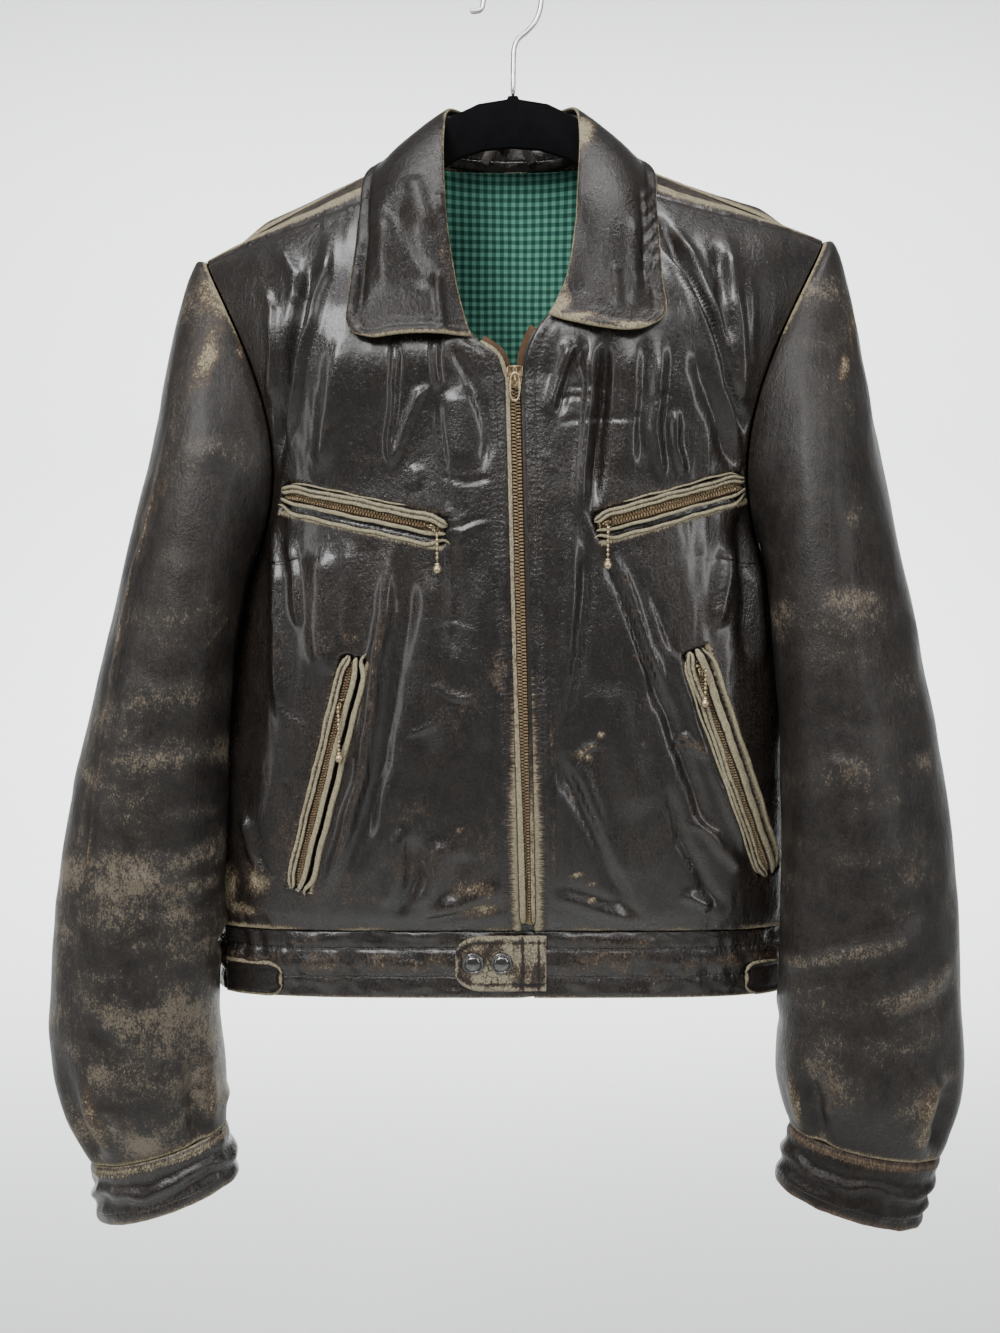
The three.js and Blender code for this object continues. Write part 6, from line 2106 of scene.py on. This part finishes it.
# ---------------------------------------------------------------- hanger and loop
class Hanger:
    """The flat velvet hanger, its wire hook, and the jacket's own hang loop."""

    HOOK = ((-27.5, -24), (-23, -24), (-19.8, -22.2), (-18.7, -17), (-17.3, -9.9), (-13.2, -3.8),
            (-7.2, 0.3), (0, 1.7), (7.2, 0.3), (13.2, -3.8), (17.3, -9.9), (18.7, -17), (17.5, -24.5),
            (14.5, -31), (9.5, -36.5), (4, -41), (1.6, -45.5), (0.8, -52), (0.5, -76.2))
    LOOP = ((-19, 37.5, -110), (-13, 35, -99), (-7, 32.5, -90), (-1.5, 31.5, -86), (4, 32.5, -90),
            (9, 35, -99), (14.5, 37.5, -110))

    def build(self, wardrobe: Wardrobe, nodes: dict) -> None:
        """Makes and dresses the three.

        Args:
            wardrobe: for the finishes.
            nodes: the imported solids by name.
        """
        board = nodes["hanger"].copy()
        board.data = nodes["hanger"].data.copy()
        board.name = "hanger_board"
        bpy.context.scene.collection.objects.link(board)
        for key in [k for k in board.keys() if k.startswith("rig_")]:
            del board[key]
        board.parent = None
        self.soften(board, 1.3)
        wardrobe.dress(board, VELVET, replaces=["hanger"])
        points = np.array(self.HOOK, float)
        keys = np.arange(len(points))
        smooth = through(keys, points, np.linspace(0, len(points) - 1, 150))
        hook = tube("hook_wire", vec(smooth[:, 0], 0, smooth[:, 1]), 1.7, 20)
        wardrobe.dress(hook, CHROME, replaces=["hanger_hook"])
        path = through(np.arange(len(self.LOOP)), self.LOOP, np.linspace(0, len(self.LOOP) - 1, 60))
        facing = unit(np.broadcast_to([0.0, -1.0, 0.1], path.shape))
        across = unit(np.cross(facing, np.gradient(path, axis=0)))
        loop = sweep("hang_loop_strap", path, across, facing, dome(3.2, 1.2, 0.2), worn=np.full(19, 0.5))
        wardrobe.dress(loop, LOOP_HIDE, replaces=["hang_loop"])

    def soften(self, piece: bpy.types.Object, width: float) -> None:
        """Merges a solid's loose triangles and bevels its sharp edges.

        Args:
            piece: a copy of a solid.
            width: of the bevel in millimetres.
        """
        import bmesh

        work = bmesh.new()
        work.from_mesh(piece.data)
        bmesh.ops.remove_doubles(work, verts=work.verts, dist=1e-6)
        bmesh.ops.dissolve_limit(work, angle_limit=0.02, verts=work.verts, edges=work.edges)
        work.to_mesh(piece.data)
        work.free()
        bevel = piece.modifiers.new("rounded", "BEVEL")
        bevel.width, bevel.segments, bevel.angle_limit = width * MM, 3, 0.6
        piece.data.shade_smooth()


# ---------------------------------------------------------------- studio
class Studio:
    """The pale sweep, the soft lights and the camera."""

    EYE = (-0.008, -0.862, -0.337)
    TILT = 7.7
    FOCUS = 1250 / 1333 * 36

    def backdrop(self) -> None:
        """A floor that curves up into a wall well behind the jacket."""
        shade = Shader("studio_paper")
        paper = shade.finish(
            Base_Color=shade.mix(shade.clouds((600, 600, 600), 2), (0.74, 0.76, 0.75), (0.78, 0.80, 0.79)),
            Roughness=0.9
        )
        a = np.linspace(0, math.pi / 2, 24)
        y = np.concatenate([[-4200, 0, 1500], 1700 + 1300 * np.sin(a), [3000]])
        z = np.concatenate([[-1500, -1500, -1500], -200 - 1300 * np.cos(a), [3200]])
        x = np.linspace(-4500, 4500, 12)
        grid = vec(x[None, :], y[:, None], z[:, None])
        sheet = Panel(grid, np.array([0.0, -0.7, 0.7]), 6).piece("backdrop", np.zeros(grid.shape[:2]))
        sheet.data.materials.append(paper)

    def light(
        self, name: str, place: tuple, aim: tuple, size: tuple, power: float, spread: float = 180
    ) -> None:
        """A soft rectangular light.

        Args:
            name: its name.
            place: in metres.
            aim: the point it faces.
            size: width and height in metres.
            power: watts.
            spread: how wide it throws, in degrees.
        """
        lamp = bpy.data.lights.new(name, "AREA")
        lamp.shape = "RECTANGLE"
        lamp.size, lamp.size_y = size
        lamp.energy, lamp.spread = power, math.radians(spread)
        holder = bpy.data.objects.new(name, lamp)
        bpy.context.scene.collection.objects.link(holder)
        holder.location = place
        holder.rotation_euler = (Vector(aim) - Vector(place)).to_track_quat("-Z", "Y").to_euler()
        holder.visible_camera = False

    def build(self) -> None:
        """Sets the stage."""
        self.backdrop()
        chest = (0.0, 0.0, -0.4)
        self.light("window", (-0.9, -1.75, 0.95), chest, (0.7, 1.2), 44)
        self.light("front", (0.05, -1.45, 0.42), chest, (1.3, 0.45), 11)
        self.light("left strip", (-1.9, -0.9, -0.2), chest, (0.3, 1.6), 7)
        self.light("right strip", (1.8, -1.3, 0.1), chest, (0.3, 1.8), 15)
        self.light("top", (0.0, -0.25, 1.5), (0.0, 0.0, -0.2), (1.4, 0.4), 26)
        self.light("paper", (0.0, 0.9, 1.9), (0.0, 3.0, -0.3), (5.0, 0.8), 130, spread=80)
        self.light("floor", (0.0, 0.6, 1.7), (0.0, 2.2, -1.5), (5.0, 0.5), 60, spread=70)
        world = bpy.data.worlds.new("studio")
        world.use_nodes = True
        world.node_tree.nodes["Background"].inputs["Color"].default_value = (0.93, 0.97, 1.0, 1)
        world.node_tree.nodes["Background"].inputs["Strength"].default_value = 0.22
        bpy.context.scene.world = world
        camera = bpy.data.objects.new("camera", bpy.data.cameras.new("camera"))
        camera.location = self.EYE
        camera.rotation_euler = (math.radians(90 - self.TILT), 0, 0)
        camera.data.lens, camera.data.sensor_width = self.FOCUS, 36
        camera.data.clip_start = 0.01
        bpy.context.scene.collection.objects.link(camera)
        bpy.context.scene.camera = camera


SLEEVES = (
    Sleeve("sleeve_left", SLEEVE_LEFT, CUFF_HIDE_LEFT, (
        Fold(
            ((-212, -255), (-218, -300), (-228, -345), (-246, -400), (-252, -440), (-258, -490), (-264, -530),
             (-271, -575), (-279, -620), (-285, -660)),
            2.0, 1.5, 0.62
        ),
        Fold(((-186, -604), (-214, -604), (-246, -594)), 5, -3.0),
        Fold(((-186, -590), (-216, -586), (-246, -576)), 6, 2.4, 0.2),
        Fold(((-186, -560), (-210, -566), (-238, -552)), 5, -1.6),
        Fold(((-190, -496), (-212, -506), (-244, -500)), 7, 2.0, 0.1),
        Fold(((-284, -645), (-262, -672), (-236, -694), (-206, -698)), 8, 2.4, 0.1),
        Fold(((-275, -672), (-250, -700), (-222, -712)), 7, -1.8),
        Fold(((-190, -455), (-220, -462), (-250, -448)), 8, 1.5),
        Fold(((-190, -545), (-204, -540), (-230, -538)), 6, 1.4),
        Fold(((-175, -300), (-195, -310), (-215, -306)), 9, 1.4),
        Fold(((-222, -726), (-214, -706), (-192, -716)), 4.5, 2.6, 0.45),
        Fold(((-208, -722), (-208, -748)), 4.5, -3.0),
        Fold(((-270, -734), (-258, -738), (-256, -758)), 3.6, 2.2, 0.5),
        Fold(((-182, -410), (-196, -434)), 1.2, 0.6, 0.5),
    ), (
        Patch(-184, -206, 18, 22, 1.0, -25), Patch(-194, -250, 9, 30, 0.75, -20),
        Patch(-172, -240, 6, 14, 0.6), Patch(-202, -245, 8, 22, 0.34), Patch(-222, -332, 6, 22, 0.45, -20),
        Patch(-200, -308, 22, 8, 0.34), Patch(-216, -722, 8, 8, 0.5), Patch(-258, -742, 7, 14, 0.5),
        Patch(-196, -716, 12, 4, 0.5, 20),
        Patch(-190, -560, 10, 8, 0.4), Patch(-268, -590, 12, 20, 0.3), Patch(-280, -655, 12, 12, 0.34),
    ), (
        Patch(-195, -310, 40, 12, 0.6), Patch(-215, -412, 44, 12, 0.55), Patch(-215, -462, 44, 13, 0.6, 6),
        Patch(-230, -500, 44, 12, 0.7, 4),
        Patch(-205, -568, 36, 10, 0.75, 10), Patch(-250, -600, 26, 22, 0.75, 30),
        Patch(-222, -622, 34, 9, 0.6), Patch(-255, -672, 50, 11, 0.8, -30),
        Patch(-206, -690, 30, 10, 0.7), Patch(-215, -720, 24, 20, 0.8), Patch(-265, -750, 24, 14, 0.8),
        Patch(-205, -215, 24, 24, 0.7),
        Patch(-212, -290, 10, 60, 0.45, -8), Patch(-280, -560, 10, 90, 0.5, -8),
    ), ((math.pi * 0.27, 0.16, 7.5), (math.pi * 0.76, 0.15, 8.0)), 120, (-0.18, 0.4)),
    Sleeve("sleeve_right", SLEEVE_RIGHT, CUFF_HIDE_RIGHT, (
        Fold(((170, -640), (200, -626), (252, -612)), 5, 1.8, 0.15),
        Fold(((172, -652), (204, -640), (256, -628)), 6, -1.6),
        Fold(((286, -636), (262, -648), (236, -656)), 6, 2.2, 0.2),
        Fold(((288, -654), (262, -664), (240, -670)), 6, -1.8),
        Fold(((190, -690), (204, -704), (208, -722), (200, -738)), 4.6, 3.0, 0.5),
        Fold(((190, -712), (196, -724)), 5, -3.0),
        Fold(((290, -708), (270, -712), (262, -728), (258, -752)), 4.2, 3.0, 0.5),
        Fold(((280, -724), (272, -745)), 6, -3.2),
        Fold(((196, -496), (208, -504), (216, -518)), 5, 1.6, 0.35),
        Fold(((180, -468), (230, -478), (266, -470)), 9, -1.4),
        Fold(((178, -556), (220, -566), (270, -556)), 9, 1.4),
        Fold(((180, -600), (230, -604), (270, -594)), 9, -1.3),
        Fold(((186, -405), (214, -416), (246, -412)), 9, 1.3),
        Fold(((212, -200), (222, -240), (232, -280)), 4, 1.0, 0.25),
    ), (
        Patch(180, -192, 14, 12, 0.85, 30), Patch(206, -254, 7, 12, 0.8), Patch(214, -232, 5, 26, 0.6),
        Patch(195, -290, 12, 12, 0.35), Patch(208, -508, 10, 12, 0.45, -30),
        Patch(250, -570, 12, 8, 0.4), Patch(258, -450, 8, 10, 0.4), Patch(220, -330, 8, 8, 0.34),
        Patch(205, -720, 6, 12, 0.5), Patch(264, -722, 9, 12, 0.55),
        Patch(256, -655, 16, 5, 0.5, 8), Patch(226, -262, 5, 20, 0.4),
    ), (
        Patch(190, -205, 26, 14, 0.75), Patch(205, -270, 22, 40, 0.35), Patch(200, -412, 34, 14, 0.5),
        Patch(215, -434, 40, 10, 0.45), Patch(255, -455, 16, 22, 0.55),
        Patch(210, -506, 24, 16, 0.65), Patch(250, -572, 26, 14, 0.55), Patch(258, -650, 36, 12, 0.8, 10),
        Patch(190, -655, 22, 10, 0.45),
        Patch(205, -712, 20, 20, 0.75), Patch(264, -722, 20, 20, 0.75),
    ), ((math.pi * 0.24, 0.16, 8.0), (math.pi * 0.74, 0.15, 8.0)), 150, (0.05, -0.08)),
)


def main() -> None:
    """Builds the jacket, piece by piece, and the studio round it."""
    logging.basicConfig(level=logging.INFO, format="%(message)s")
    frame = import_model()
    wardrobe = Wardrobe()
    fronts = (
        Front("front_left", LEFT, LEFT_FOLDS, LEFT_PATCHES, POCKETS_LEFT, 21),
        Front("front_right", RIGHT, RIGHT_FOLDS, RIGHT_PATCHES, POCKETS_RIGHT, 22),
    )
    for front in fronts:
        front.build(wardrobe)
        for pocket in front.pockets:
            PocketFittings(pocket, front).build(wardrobe)
    Back().build(wardrobe)
    for sleeve in SLEEVES:
        sleeve.build(wardrobe)
    Collar().build(wardrobe)
    Waistband().build(wardrobe)
    MainZip().build(wardrobe)
    Hanger().build(wardrobe, frame["nodes"])
    Studio().build()


if __name__ == "__main__":
    main()
